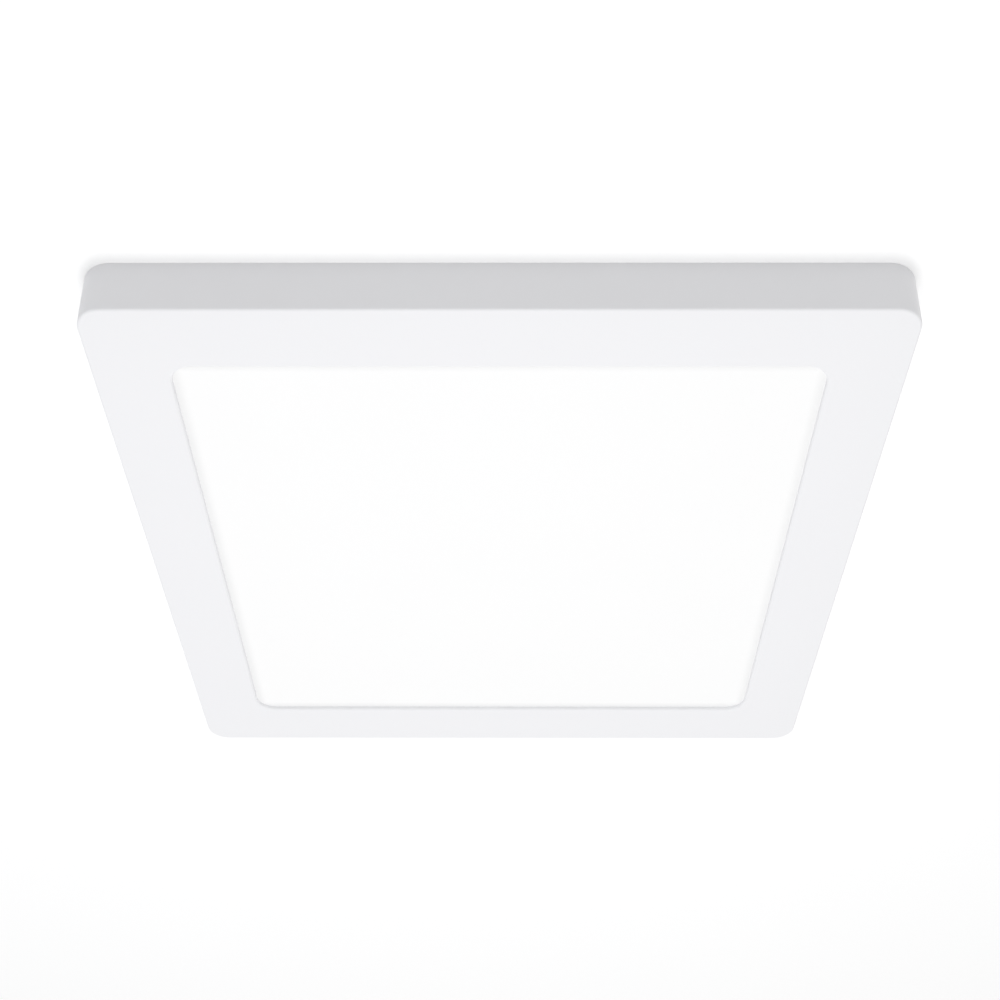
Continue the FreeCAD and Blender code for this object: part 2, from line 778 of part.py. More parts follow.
def driver_case():
    """The driver's tray with its vents, its square wire ports and the hooks that hold it down."""
    body = new_body("driver_case")
    outline = new_sketch(body, "outline", offset="cover_top")
    rounded_rectangle(outline, "driver_length", "driver_width", "driver_corner_radius")
    pad(body, "block", outline, "driver_case_top - cover_top")
    inside = new_sketch(body, "inside_outline", offset="driver_case_top")
    rounded_rectangle(inside, "driver_length - 2 * driver_wall", "driver_width - 2 * driver_wall",
                      "driver_corner_radius - driver_wall")
    pocket(body, "inside", inside, "driver_case_top - driver_floor")
    vent = new_sketch(body, "vent_outline", "XZ_Plane")
    centred(vent, "driver_vent_width", "driver_case_top - parts_level - driver_vent_margin",
            "-driver_vent_pitch * (driver_vents - 1) / 2", "(parts_level + driver_case_top) / 2")
    vents = pocket(body, "vent", vent, "driver_width + 2 * driver_wall", both_ways=True)
    row_pattern(body, "vents", [vents], "X_Axis", "driver_vent_pitch * (driver_vents - 1)",
                "driver_vents")
    port = new_sketch(body, "lead_outline", "YZ_Plane", "driver_length / 2")
    centred(port, "lead_diameter + 2 * port_gap", "lead_diameter + 2 * port_gap", "0", "lead_level")
    pocket(body, "lead_port", port, "driver_wall")
    ports = new_sketch(body, "mains_outline", "YZ_Plane", "-driver_length / 2 + driver_wall")
    for name in ("live", "neutral"):
        centred(ports, "wire_diameter + 2 * port_gap", "wire_diameter + 2 * port_gap",
                f"{wire_row(name)} - driver_y", "pole_level")
    pocket(body, "mains_ports", ports, "driver_wall")
    for index, sign in enumerate(("", "-")):
        hook = new_sketch(body, f"hook_profile_{index}", "XZ_Plane")
        polygon(hook, [
            (f"{sign}hook_x", "cover_top + driver_wall / 2"),
            (f"{sign}hook_x", "hook_foot"),
            (f"{sign}(hook_x + hook_thickness)", "hook_foot"),
            (f"{sign}(hook_x + hook_thickness + hook_barb)", "cover_level - hook_gap"),
            (f"{sign}(hook_x + hook_thickness)", "cover_level - hook_gap"),
            (f"{sign}(hook_x + hook_thickness)", "cover_top + driver_wall / 2"),
        ])
        pad(body, f"hook_{index}", hook, "hook_width", both_ways=True)
    move_to_driver(body)


def move_to_driver(body):
    """Set a piece that was drawn about the driver's middle in its place."""
    bind(body, **{"Placement.Base.x": "driver_x", "Placement.Base.y": "driver_y"})


def driver_cover():
    """The driver's lid, with two ribs that drop inside the tray's long walls."""
    body = new_body("driver_cover")
    outline = new_sketch(body, "outline", offset="driver_case_top")
    rounded_rectangle(outline, "driver_length", "driver_width", "driver_corner_radius")
    pad(body, "plate", outline, "driver_lid")
    ribs = new_sketch(body, "rib_outline", offset="driver_case_top")
    for sign in ("-", ""):
        centred(ribs, "driver_lid_rib_length", "driver_wall", "0",
                f"{sign}(driver_width / 2 - driver_wall - driver_fit - driver_wall / 2)")
    pad(body, "ribs", ribs, "driver_lid_rib_height", down=True)
    move_to_driver(body)


def driver_board():
    """The circuit board on its two stands."""
    inset = "2 * (driver_wall + driver_board_gap)"
    body = plain_pad("driver_board", "driver_board_thickness", "driver_board_level", centred,
                     f"driver_length - {inset}", f"driver_width - {inset}")
    stands = new_sketch(body, "stand_outline", offset="driver_floor")
    for sign in ("-", ""):
        centred(stands, "driver_stand", "driver_stand",
                f"{sign}(driver_length / 2 - driver_wall - driver_stand)")
    pad(body, "stands", stands, "driver_board_lift")
    move_to_driver(body)


def driver_transformer():
    """Ferrite core with the winding showing at its middle."""
    body = plain_pad("driver_transformer", "transformer_height", "parts_level", centred,
                     "transformer_length", "transformer_width")
    winding = new_sketch(body, "winding_outline", offset="parts_level")
    centred(winding, "winding_length", "winding_width")
    pad(body, "winding", winding, "winding_height")
    move_to_driver(body)


def driver_capacitors():
    """Two electrolytic capacitors that lie on their sides."""
    body = new_body("driver_capacitors")
    for index, sign in enumerate(("-", "")):
        place = f"{sign}driver_length * capacitor_along"
        profile = new_sketch(body, f"round_{index}", "YZ_Plane", f"{place} - capacitor_length / 2")
        circle(profile, "capacitor_diameter", "driver_width * capacitor_aside",
               "parts_level + capacitor_diameter / 2")
        pad(body, f"can_{index}", profile, "capacitor_length")
    move_to_driver(body)


def driver_choke():
    body = plain_pad("driver_choke", "choke_height", "parts_level", centred, "choke_width",
                     "choke_width", "-driver_length * small_parts_along",
                     "-driver_width * small_parts_aside")
    move_to_driver(body)


def driver_rectifier():
    body = plain_pad("driver_rectifier", "rectifier_height", "parts_level", centred, "rectifier_length",
                     "rectifier_width", "driver_length * small_parts_along",
                     "-driver_width * small_parts_aside")
    move_to_driver(body)


# Terminal block


def pole_x(name):
    """The X of a pole of the terminal block."""
    return f"(terminal_x + {POLES[name]} * pole_pitch)"


def terminal_block():
    """Three poles, each with a round wire entry at the front, a square one at the back and a well."""
    body = new_body("terminal_block")
    profile = new_sketch(body, "profile", "YZ_Plane", "terminal_x")
    polygon(profile, [
        ("terminal_front", "cover_top"),
        ("terminal_back", "cover_top"),
        ("terminal_back", "terminal_top"),
        ("terminal_front + terminal_ramp", "terminal_top"),
        ("terminal_front", "terminal_top - terminal_ramp"),
    ])
    pad(body, "block", profile, "terminal_length", both_ways=True)
    feet = new_sketch(body, "foot_outline", offset="cover_top")
    for sign in ("+", "-"):
        centred(feet, "terminal_foot_size", "terminal_foot_size",
                f"terminal_x {sign} terminal_foot_spacing / 2", "terminal_y")
    pad(body, "feet", feet, "terminal_foot", down=True)
    wells = new_sketch(body, "well_outline", offset="terminal_top")
    for name in POLES:
        centred(wells, "button_length + 2 * button_gap", "button_depth + 2 * button_gap", pole_x(name),
                "terminal_y")
    pocket(body, "wells", wells, "button_height - button_rise + button_travel + button_gap")
    entries = new_sketch(body, "entry_circles", "XZ_Plane", "-terminal_front")
    for name in POLES:
        circle(entries, "pole_bore_diameter", pole_x(name), "pole_level")
    pocket(body, "entries", entries, "pole_bore_depth")
    sockets = new_sketch(body, "socket_outline", "XZ_Plane", "-terminal_back")
    for name in POLES:
        centred(sockets, "wire_diameter + 2 * port_gap", "wire_diameter + 2 * port_gap", pole_x(name),
                "pole_level")
    pocket(body, "sockets", sockets, "pole_well_depth", up=True)


def terminal_button(name):
    """A release button with a slot across its top for a screwdriver."""
    body = plain_pad(f"{name}_button", "button_height", "button_foot", centred, "button_length",
                     "button_depth", pole_x(name), "terminal_y")
    groove = new_sketch(body, "groove_outline", offset="button_top")
    centred(groove, "button_length", "button_slot_width", pole_x(name), "terminal_y")
    pocket(body, "groove", groove, "button_slot_depth")


# Inner wires


def bent_line(points, bends):
    """A wire of straight runs joined by tangent arcs, with a radius for each inner point."""
    edges = []
    start = points[0]
    for before, here, after, bend in zip(points, points[1:], points[2:], bends):
        inward = (here - before).normalize()
        outward = (after - here).normalize()
        half_turn = inward.getAngle(outward) / 2
        setback = bend * math.tan(half_turn)
        first = here - inward * setback
        last = here + outward * setback
        middle = here + (outward - inward).normalize() * (bend / math.cos(half_turn) - bend)
        edges.append(Part.makeLine(start, first))
        edges.append(Part.Arc(first, middle, last).toShape())
        start = last
    edges.append(Part.makeLine(start, points[-1]))
    return Part.Wire(edges)


def tube(label, corners, diameter, bends):
    """A wire along a route, with a six-sided section to keep its facets few."""
    points = [Vector(*(number(value) for value in corner)) for corner in corners]
    route = bent_line(points, [number(bend) for bend in bends])
    turn_to_route = FreeCAD.Rotation(Z_AXIS, points[1] - points[0])
    radius = number(diameter) / 2
    rim = []
    for step in range(TUBE_SIDES):
        angle = 2 * math.pi * (step + 0.5) / TUBE_SIDES
        spoke = Vector(radius * math.cos(angle), radius * math.sin(angle), 0)
        rim.append(points[0] + turn_to_route.multVec(spoke))
    section = Part.makePolygon(rim + rim[:1])
    piece = doc.addObject("Part::Feature", label)
    piece.Label = label
    piece.Shape = route.makePipeShell([section], True, False)


def wire_row(name):
    """The Y of the stretch of a mains wire that runs to the driver."""
    return f"(driver_y + {POLES[name] * -1 + 0.5} * wire_step)"


def mains_wire(name):
    """From a pole's back, round one bend and through the driver's port."""
    row = wire_row(name)
    tube(f"{name}_wire", [
        (pole_x(name), "terminal_back - pole_well_depth + wire_end_gap", "pole_level"),
        (pole_x(name), row, "pole_level"),
        ("driver_x - driver_length / 2 + driver_wall", row, "pole_level"),
    ], "wire_diameter", ["wire_bend"])


def earth_wire():
    """From the earth pole's back, down to the socket on the back cover's blade."""
    tube("earth_wire", [
        (pole_x("earth"), "terminal_back - pole_well_depth + wire_end_gap", "pole_level"),
        (pole_x("earth"), "terminal_back + wire_diameter", "pole_level"),
        (pole_x("earth"), "blade_y", "blade_level"),
        ("socket_end + wire_end_gap", "blade_y", "blade_level"),
    ], "wire_diameter", ["wire_bend", "wire_bend"])


def cover_earth_tab():
    """The blade that is spot-welded to the back cover: a foot, a step up and a flat blade."""
    body = new_body("cover_earth_tab")
    profile = new_sketch(body, "profile", "XZ_Plane", "-blade_y")
    under = "cover_top + blade_rise"
    polygon(profile, [
        ("blade_x - blade_foot", "cover_top"),
        ("blade_x", "cover_top"),
        ("blade_x", under),
        ("blade_x + blade_length", under),
        ("blade_x + blade_length", f"{under} + blade_thickness"),
        ("blade_x - blade_thickness", f"{under} + blade_thickness"),
        ("blade_x - blade_thickness", "cover_top + blade_thickness"),
        ("blade_x - blade_foot", "cover_top + blade_thickness"),
    ])
    pad(body, "strip", profile, "blade_width", both_ways=True)


def earth_socket():
    """The push-on socket round the blade, with the barrel that is crimped on the earth wire."""
    body = new_body("earth_socket")
    sleeve = new_sketch(body, "sleeve_outline", "YZ_Plane", "socket_start")
    centred(sleeve, "2 * socket_half", "2 * socket_rise", "blade_y", "blade_level")
    pad(body, "sleeve", sleeve, "socket_end - socket_start")
    mouth = new_sketch(body, "mouth_outline", "YZ_Plane", "socket_start")
    centred(mouth, "blade_width + 2 * socket_gap", "blade_thickness + 2 * socket_gap", "blade_y",
            "blade_level")
    pocket(body, "mouth", mouth, "socket_overlap", up=True)
    barrel = new_sketch(body, "barrel_outline", "YZ_Plane", "socket_end")
    outside = "wire_diameter + 2 * port_gap + 2 * socket_wall"
    centred(barrel, outside, outside, "blade_y", "blade_level")
    pad(body, "barrel", barrel, "crimp_length")
    bore = new_sketch(body, "bore_outline", "YZ_Plane", "socket_end")
    centred(bore, "wire_diameter + 2 * port_gap", "wire_diameter + 2 * port_gap", "blade_y",
            "blade_level")
    pocket(body, "bore", bore, "crimp_length", up=True)


def output_lead():
    """From the driver's port to the corner, then down through the back cover to the connector."""
    tube("output_lead", [
        ("driver_x + driver_length / 2 - driver_wall", "driver_y", "lead_level"),
        ("lead_hole - lead_turn_x", "driver_y", "lead_level"),
        ("lead_hole", "lead_hole - lead_turn_y", "lead_level"),
        ("lead_hole", "lead_hole", "lead_level"),
        ("lead_hole", "lead_hole", "diffuser_top + connector_height"),
    ], "lead_diameter", ["lead_bend", "lead_bend", "lead_drop_bend"])


def lead_grommet():
    """Rubber bush in the lead's square hole, with a lip on each face of the back cover."""
    body = new_body("lead_grommet")
    for name, side, low, high in (
        ("neck", "lead_hole_width", "cover_level", "cover_top"),
        ("upper_lip", "lead_grommet_flange", "cover_top", "cover_top + lead_grommet_lip"),
        ("lower_lip", "lead_grommet_flange", "cover_level - lead_grommet_lip", "cover_level"),
    ):
        outline = new_sketch(body, f"{name}_outline", offset=low)
        centred(outline, side, side, "lead_hole", "lead_hole")
        pad(body, name, outline, f"{high} - ({low})")
    bore = new_sketch(body, "bore_circle", offset="cover_top + lead_grommet_lip")
    circle(bore, "lead_diameter", "lead_hole", "lead_hole")
    pocket(body, "bore", bore, "cover_thickness + 2 * lead_grommet_lip")


def lead_connector():
    """The plug that takes the lead's end, with a contact to each of the two strips beside it."""
    body = plain_pad("lead_connector", "connector_height", "diffuser_top", centred, "connector_size",
                     "connector_size", "connector_middle", "connector_middle")
    edge = "connector_middle - connector_size / 2"
    across = ("board_reach + contact_inset", "rail_reach")
    along = ("board_length / 2", edge)
    for name, x, y in (("right", across, along), ("rear", along, across)):
        contact = new_sketch(body, f"{name}_outline", offset="guide_middle - contact_height / 2")
        rectangle(contact, *x, *y)
        pad(body, f"{name}_contact", contact, "contact_height")


# Catches and clips


def clip_catch(side, angle):
    """A folded steel hook whose lip the spring snaps under."""
    body = new_body(f"clip_catch_{side}")
    profile = new_sketch(body, "profile", "XZ_Plane")
    tip = "catch_lip_tip"
    inner = "catch_position"
    outer = "catch_position + catch_thickness"
    foot = "catch_position + catch_foot"
    polygon(profile, [
        (inner, "cover_top"),
        (foot, "cover_top"),
        (foot, "cover_top + catch_thickness"),
        (outer, "cover_top + catch_thickness"),
        (outer, "catch_lip_top"),
        (tip, "catch_lip_top"),
        (tip, "catch_lip_top - catch_thickness"),
        (inner, "catch_lip_top - catch_thickness"),
    ])
    pad(body, "strip", profile, "catch_width", both_ways=True)
    outside = [(number(inner), number("cover_top")), (number(outer), number("catch_lip_top"))]
    inside = [
        (number(outer), number("cover_top + catch_thickness")),
        (number(inner), number("catch_lip_top - catch_thickness")),
    ]
    soften(body, "outer_bends", "Fillet", "catch_bend", lambda edge: bend_edge(edge, outside))
    soften(body, "inner_bends", "Fillet", "catch_inner_bend", lambda edge: bend_edge(edge, inside))
    turned(body, angle)


def clip_points():
    """The middle line of the right spring, as pairs of x and z from its seat to its tip."""
    half = number("clip_thickness") / 2
    seat = number("tongue_level") - half
    tip = number("catch_lip_tip")
    lip = number("catch_lip_top - catch_thickness")
    gap = number("clip_lip_gap") + half
    bulge = number("clip_bulge")
    drop = number("clip_drop")
    root = number("plate_length") / 2 + half + number("clip_root_gap")
    return [
        (root - number("clip_seat_length"), seat),
        (root, seat),
        (root, lip + bulge * number("clip_knee")),
        (tip + bulge, lip - gap - bulge * number("clip_crest")),
        (tip - bulge * number("clip_tail"), lip - drop - gap),
    ]


def clip_spring(side, angle):
    """A leaf of spring steel: a flat seat, a knee and a bulge that snaps under the catch's lip."""
    points = [Vector(x, 0, z) for x, z in clip_points()]
    line = bent_line(points, [number("clip_bend")] * (len(points) - 2))
    half = number("clip_thickness") / 2
    width = number("clip_width")
    section = Part.makePolygon([
        Vector(points[0].x, y * width / 2, points[0].z + z * half)
        for y, z in ((-1, -1), (1, -1), (1, 1), (-1, 1), (-1, -1))
    ])
    leaf = line.makePipeShell([section], True, False)
    foot = Vector(number("spring_rivet_x"), 0, points[0].z - 2 * half)
    hole = Part.makeCylinder(number("rivet_diameter + rivet_gap") / 2, 4 * half, foot)
    leaf = leaf.cut(hole)
    piece = doc.addObject("Part::Feature", f"clip_spring_{side}")
    piece.Label = f"clip_spring_{side}"
    piece.Shape = leaf
    turned(piece, angle)


# Mounting plate


def mounting_plate():
    """The folded steel plate with its dishes, slots and holes."""
    body = new_body("mounting_plate")
    profile = new_sketch(body, "profile", "YZ_Plane")
    outer = "plate_width / 2"
    inner = "(plate_width / 2 - plate_thickness)"
    polygon(profile, [
        (f"-{outer}", "-plate_flange"),
        (f"-{inner}", "-plate_flange"),
        (f"-{inner}", "plate_level"),
        (inner, "plate_level"),
        (inner, "-plate_flange"),
        (outer, "-plate_flange"),
        (outer, "0"),
        (f"-{outer}", "0"),
    ])
    pad(body, "channel", profile, "plate_length", both_ways=True)

    def fold(level, reach):
        def wanted(edge):
            box = edge.BoundBox
            along_x = box.YLength < SAME and box.ZLength < SAME
            return along_x and abs(box.ZMin - level) < SAME and abs(abs(box.YMin) - reach) < SAME
        return wanted

    soften(body, "outer_folds", "Fillet", "plate_bend", fold(0, number(outer)))
    soften(body, "inner_folds", "Fillet", "plate_bend - plate_thickness",
           fold(number("plate_level"), number(inner)))
    relief = new_sketch(body, "relief_outline", offset="plate_level")
    for sign in ("", "-"):
        near = f"{sign}plate_flange_length / 2"
        far = f"{sign}(plate_length / 2 + plate_cut_margin)"
        rectangle(relief, near, far, "-plate_width / 2 - plate_cut_margin",
                  "plate_width / 2 + plate_cut_margin")
    pocket(body, "flange_relief", relief, "plate_flange")
    for sign, side in (("", "right"), ("-", "left")):
        start = f"{sign}(plate_length / 2 - tongue_length)"
        end = f"{sign}plate_length / 2"
        low = new_sketch(body, f"{side}_tongue_under", offset="plate_level")
        rectangle(low, start, end, "-plate_width / 2", "plate_width / 2")
        pad(body, f"{side}_tongue", low, "tongue_step", down=True)
        step = new_sketch(body, f"{side}_tongue_over")
        rectangle(step, f"{sign}(plate_length / 2 - tongue_length + plate_thickness)", end,
                  "-plate_width / 2", "plate_width / 2")
        pocket(body, f"{side}_tongue_step", step, "tongue_step")
    corners = new_sketch(body, "corner_frame")
    centred(corners, "plate_length + 2 * plate_cut_margin", "plate_width + 2 * plate_cut_margin")
    rounded_rectangle(corners, "plate_length", "plate_width - plate_cut_skin", "plate_corner_radius")
    pocket(body, "corner_cut", corners, "plate_thickness + tongue_step")

    under = new_sketch(body, "dish_outside", offset="plate_level")
    circle(under, "cable_dish_diameter")
    pad(body, "dish", under, "dish_depth", down=True)
    hollow = new_sketch(body, "dish_inside")
    circle(hollow, "cable_dish_diameter - 2 * plate_thickness")
    pocket(body, "dish_hollow", hollow, "dish_depth")
    holes = new_sketch(body, "holes")
    circle(holes, "cable_hole_diameter")
    for sign in ("", "-"):
        slot(holes, "slot_length", "slot_width", f"{sign}slot_spacing / 2")
        circle(holes, "rivet_diameter + rivet_gap", f"{sign}spring_rivet_x")
    pocket(body, "hole_cuts", holes, "plate_thickness + dish_depth")


def cable_grommet():
    """Rubber ring in the cable hole, with its flanges inside the dish and under it."""
    body = new_body("cable_grommet")
    profile = new_sketch(body, "profile", "XZ_Plane")
    bore = "grommet_bore / 2"
    flange = "grommet_flange_diameter / 2"
    neck = "cable_hole_diameter / 2"
    polygon(profile, [
        (bore, "dish_level - grommet_flange"),
        (flange, "dish_level - grommet_flange"),
        (flange, "dish_level"),
        (neck, "dish_level"),
        (neck, "-dish_depth"),
        (flange, "-dish_depth"),
        (flange, "grommet_flange - dish_depth"),
        (bore, "grommet_flange - dish_depth"),
    ])
    revolve(body, "ring", profile)


def spring_rivets():
    """A solid rivet through each end of the plate and its spring, as plain many-sided stock."""
    body = new_body("spring_rivets")
    joint_top = "-tongue_step"
    joint_foot = "(tongue_level - clip_thickness)"
    for name, diameter, low, height in (
        ("shanks", "rivet_diameter", joint_foot, f"{joint_top} - {joint_foot}"),
        ("heads", "rivet_head_diameter", joint_top, "rivet_head_height"),
        ("upset_heads", "rivet_upset_diameter", f"{joint_foot} - rivet_upset_height",
         "rivet_upset_height"),
    ):
        outline = new_sketch(body, f"{name}_outline", offset=low)
        for sign in ("", "-"):
            many_sided(outline, "rivet_sides", diameter, f"{sign}spring_rivet_x", "0")
        pad(body, name, outline, height)


def plate_earth_tab():
    """The earth blade that is spot-welded under the plate: a foot and a blade that hangs down."""
    body = new_body("plate_earth_tab")
    profile = new_sketch(body, "profile", "XZ_Plane", "-earth_tab_y")
    polygon(profile, [
        ("earth_tab_x", "plate_level"),
        ("earth_tab_x + earth_tab_foot", "plate_level"),
        ("earth_tab_x + earth_tab_foot", "plate_level - earth_tab_thickness"),
        ("earth_tab_x + earth_tab_thickness", "plate_level - earth_tab_thickness"),
        ("earth_tab_x + earth_tab_thickness", "plate_level - earth_tab_drop"),
        ("earth_tab_x", "plate_level - earth_tab_drop"),
    ])
    pad(body, "strip", profile, "earth_tab_width", both_ways=True)


# The whole lamp


def build():
    housing_frame()
    diffuser()
    light_guide_plate()
    reflector_sheet()
    foam_backing_pad()
    for side, angle in SIDES.items():
        led_rail(side, angle)
        led_board(side, angle)
        led_chips(side, angle)
    back_cover()
    cover_screws()
    driver_case()
    driver_cover()
    driver_board()
    driver_transformer()
    driver_capacitors()
    driver_choke()
    driver_rectifier()
    terminal_block()
    for name in POLES:
        terminal_button(name)
    mains_wire("live")
    mains_wire("neutral")
    earth_wire()
    cover_earth_tab()
    earth_socket()
    output_lead()
    lead_grommet()
    lead_connector()
    for side in ("right", "left"):
        clip_catch(side, SIDES[side])
        clip_spring(side, SIDES[side])
    mounting_plate()
    cable_grommet()
    spring_rivets()
    plate_earth_tab()
    doc.recompute()


def check():
    """Stop on a failed object or a piece with no sound solid."""
    for thing in doc.Objects:
        if "Invalid" in thing.State or "Error" in thing.State:
            raise RuntimeError(f"{thing.Name} failed: {thing.State}")
    for piece in pieces():
        if piece.Shape.isNull() or not piece.Shape.isValid() or not piece.Shape.Solids:
            raise RuntimeError(f"{piece.Label} has no sound solid")


def pieces():
    kinds = ("PartDesign::Body", "Part::Feature")
    return [thing for thing in doc.Objects if thing.TypeId in kinds]


def write():
    os.makedirs("parts", exist_ok=True)
    for piece in pieces():
        piece.Shape.exportStep(f"parts/{piece.Label}.step")


build()
check()
write()
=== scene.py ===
"""Slim square ceiling light: finished pieces, materials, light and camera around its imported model.

Metres, +Z up. The ceiling is the plane z = 0 and the light hangs below it, seen from the -Y side.
The moulded shell and all that repeats come from Geometry Nodes, the inner wires are swept tubes,
and the sheet metal and small mouldings are merged copies of their CAD nodes with rounded edges.
"""

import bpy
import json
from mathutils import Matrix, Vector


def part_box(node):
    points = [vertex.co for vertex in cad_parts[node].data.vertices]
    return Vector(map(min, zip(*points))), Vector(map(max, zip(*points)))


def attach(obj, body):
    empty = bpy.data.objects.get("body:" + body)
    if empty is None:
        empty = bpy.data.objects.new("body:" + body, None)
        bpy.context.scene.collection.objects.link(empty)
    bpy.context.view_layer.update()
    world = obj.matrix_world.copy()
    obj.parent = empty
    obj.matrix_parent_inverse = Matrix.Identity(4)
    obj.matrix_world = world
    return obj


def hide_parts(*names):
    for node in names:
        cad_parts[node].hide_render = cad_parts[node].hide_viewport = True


bl_info = {
    "name": "Square ceiling light",
    "version": (1, 0, 0),
    "blender": (4, 5, 0),
    "location": "View3D > Sidebar > Ceiling light",
    "description": "Finishes the packed model of a slim square ceiling light",
    "category": "Object",
}

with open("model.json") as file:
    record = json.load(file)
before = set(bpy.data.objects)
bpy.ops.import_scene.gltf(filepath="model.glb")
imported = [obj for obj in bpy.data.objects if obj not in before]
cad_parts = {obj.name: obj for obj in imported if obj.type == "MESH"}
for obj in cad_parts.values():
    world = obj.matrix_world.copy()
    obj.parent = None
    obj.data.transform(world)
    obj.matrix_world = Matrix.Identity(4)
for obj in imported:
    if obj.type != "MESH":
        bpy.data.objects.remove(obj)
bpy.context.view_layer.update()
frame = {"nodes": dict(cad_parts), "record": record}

import json
import math

import bmesh
import bpy
from bpy.props import FloatProperty, FloatVectorProperty, IntProperty, PointerProperty
from mathutils import Matrix, Vector

MM = 0.001
NODES = frame["nodes"]
BODIES = {
    name: body for body, names in frame["record"]["behaviour"]["bodies"].items() for name in names}
SIDES = ("front", "rear", "left", "right")
ENDS = ("left", "right")
POLES = ("earth", "neutral", "live")
MERGE = 0.006 * MM  # joins the corners that neighbouring CAD triangles share
SEAM = 0.001 * MM  # closes the seams that a geometry tree leaves
FLAT, SHARP = 1, 40  # degrees, up to which two faces are one and past which an edge is rounded
NOISE_LOW, NOISE_HIGH = 0.3, 0.7  # where most values of a noise texture lie
WAVE = math.tau / 20  # period of a wave texture at scale 1
WHITE = (1.0, 1.0, 1.0)

RIM_LOW, RIM_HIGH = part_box("housing_frame")
FACE_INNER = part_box("diffuser")[0].z
COVER_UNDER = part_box("back_cover")[0].z


def linear(code):
    """A colour written as sRGB hex, turned to the linear values that the shaders take."""
    channels = [int(code[i:i + 2], 16) / 255 for i in (0, 2, 4)]
    return tuple(c / 12.92 if c <= 0.04045 else ((c + 0.055) / 1.055) ** 2.4 for c in channels)


def shade(colour, level=1.0):
    """A colour at a level of itself, as a shader socket takes it."""
    return (*(min(channel * level, 1.0) for channel in colour), 1.0)


# Settings


def length(name, about, default):
    return FloatProperty(name=name, description=about, default=default, min=0.0, subtype="DISTANCE",
                         unit="LENGTH", precision=5)


def tint(name, about, code):
    return FloatVectorProperty(name=name, description=about, default=linear(code), min=0.0, max=1.0,
                               subtype="COLOR", size=3)


def level(name, about, default):
    return FloatProperty(name=name, description=about, default=default, min=0.0, max=4.0)


def count(name, about, default):
    return IntProperty(name=name, description=about, default=default, min=2, max=64)


class HousingSettings(bpy.types.PropertyGroup):
    """Sizes and colours of the moulded shell and its lit window."""

    width: length("Width", "Outer width at the ceiling", RIM_HIGH.x - RIM_LOW.x)
    height: length("Height", "From the ceiling to the face", RIM_HIGH.z - RIM_LOW.z)
    flare: length(
        "Flare", "How much further out a side stands at the ceiling than at the face", 1.6 * MM)
    rim_corner: length("Rim corner", "Corner radius at the ceiling", 11.5 * MM)
    wall: length("Wall", "Thickness of the side walls", 2.0 * MM)
    face_edge: length("Face edge", "Rounding of the face's outer edge", 1.1 * MM)
    border: length("Border", "From the rim's line in to the window", 30.0 * MM)
    window_corner: length("Window corner", "Corner radius of the window", 8.8 * MM)
    lip: length("Lip", "Rounding of the window's edge", 1.2 * MM)
    corner_steps: count("Corner steps", "Faces round each corner", 20)
    rib: length("Rib", "Thickness of the webs and gussets", 1.2 * MM)
    boss: length("Boss", "Width of a screw boss", 7.0 * MM)
    pilot: length("Pilot hole", "Hole in a screw boss", 2.0 * MM)
    boss_reach: length("Boss reach", "From the middle of the light out to a boss", 141.46 * MM)
    boss_spacing: length("Boss spacing", "Between the two bosses of a side", 180.0 * MM)
    gusset_reach: length("Gusset reach", "How far a gusset runs along the face", 6.0 * MM)
    gusset_height: length("Gusset height", "How far a gusset runs up the wall", 5.0 * MM)
    gusset_spacing: length("Gusset spacing", "Between two gussets", 26.0 * MM)
    gusset_count: count("Gussets", "Gussets on each side", 7)
    guide_rib: length("Guide rib", "Length of the ribs that hold the optics", 84.0 * MM)
    guide_rib_height: length("Guide rib height", "Height of those ribs", 4.0 * MM)
    guide_rib_reach: length("Guide rib reach", "From the middle out to those ribs", 134.3 * MM)
    guide_rib_spacing: length("Guide rib spacing", "Between the two ribs of a side", 136.0 * MM)
    shell: tint("Shell", "Colour of the moulded shell", "F3F3F5")
    opal: tint("Opal", "Colour of the diffuser", "E4E4E4")
    glow: level("Glow", "Light that the diffuser gives off", 0.2)
    dark_edge: length("Dark edge", "Width of the falloff along the window", 4.8 * MM)


class FastenerSettings(bpy.types.PropertyGroup):
    """Sizes and colours of the screws and rivets."""

    shank: length("Screw shank", "Diameter of a screw's shank", 2.4 * MM)
    recess_width: length("Recess width", "Width of a wing of the cross recess", 0.7 * MM)
    recess_span: length("Recess span", "Span of the cross recess", 3.0 * MM)
    recess_depth: length("Recess depth", "Depth of the cross recess", 1.2 * MM)
    rivet_shank: length("Rivet shank", "Diameter of a rivet's shank", 3.2 * MM)
    rivet_head: length("Rivet head", "Height of a rivet's set head", 1.0 * MM)
    upset: length("Upset head", "Diameter of a rivet's upset head", 4.8 * MM)
    upset_height: length("Upset height", "Height of a rivet's upset head", 0.6 * MM)
    zinc: tint("Zinc", "Colour of the zinc plating", "D3D5D4")
    aluminium: tint("Aluminium", "Colour of the rivets and rails", "DCDDDE")


class SheetSettings(bpy.types.PropertyGroup):
    """Edges and colours of the sheet metal."""

    edge: length("Edge", "Rounding of sheared and pressed edges", 0.3 * MM)
    spangle: length("Spangle", "Size of the zinc crystals", 3.5 * MM)
    sheet: tint("Galvanised sheet", "Colour of the galvanised steel", "CDD1D4")
    plate: tint("Zinc plated strip", "Colour of the mounting plate", "D8DBDD")
    spring: tint("Spring steel", "Colour of the leaf springs", "A3A8AD")
    brass: tint("Brass", "Colour of the earth blades", "D9B866")


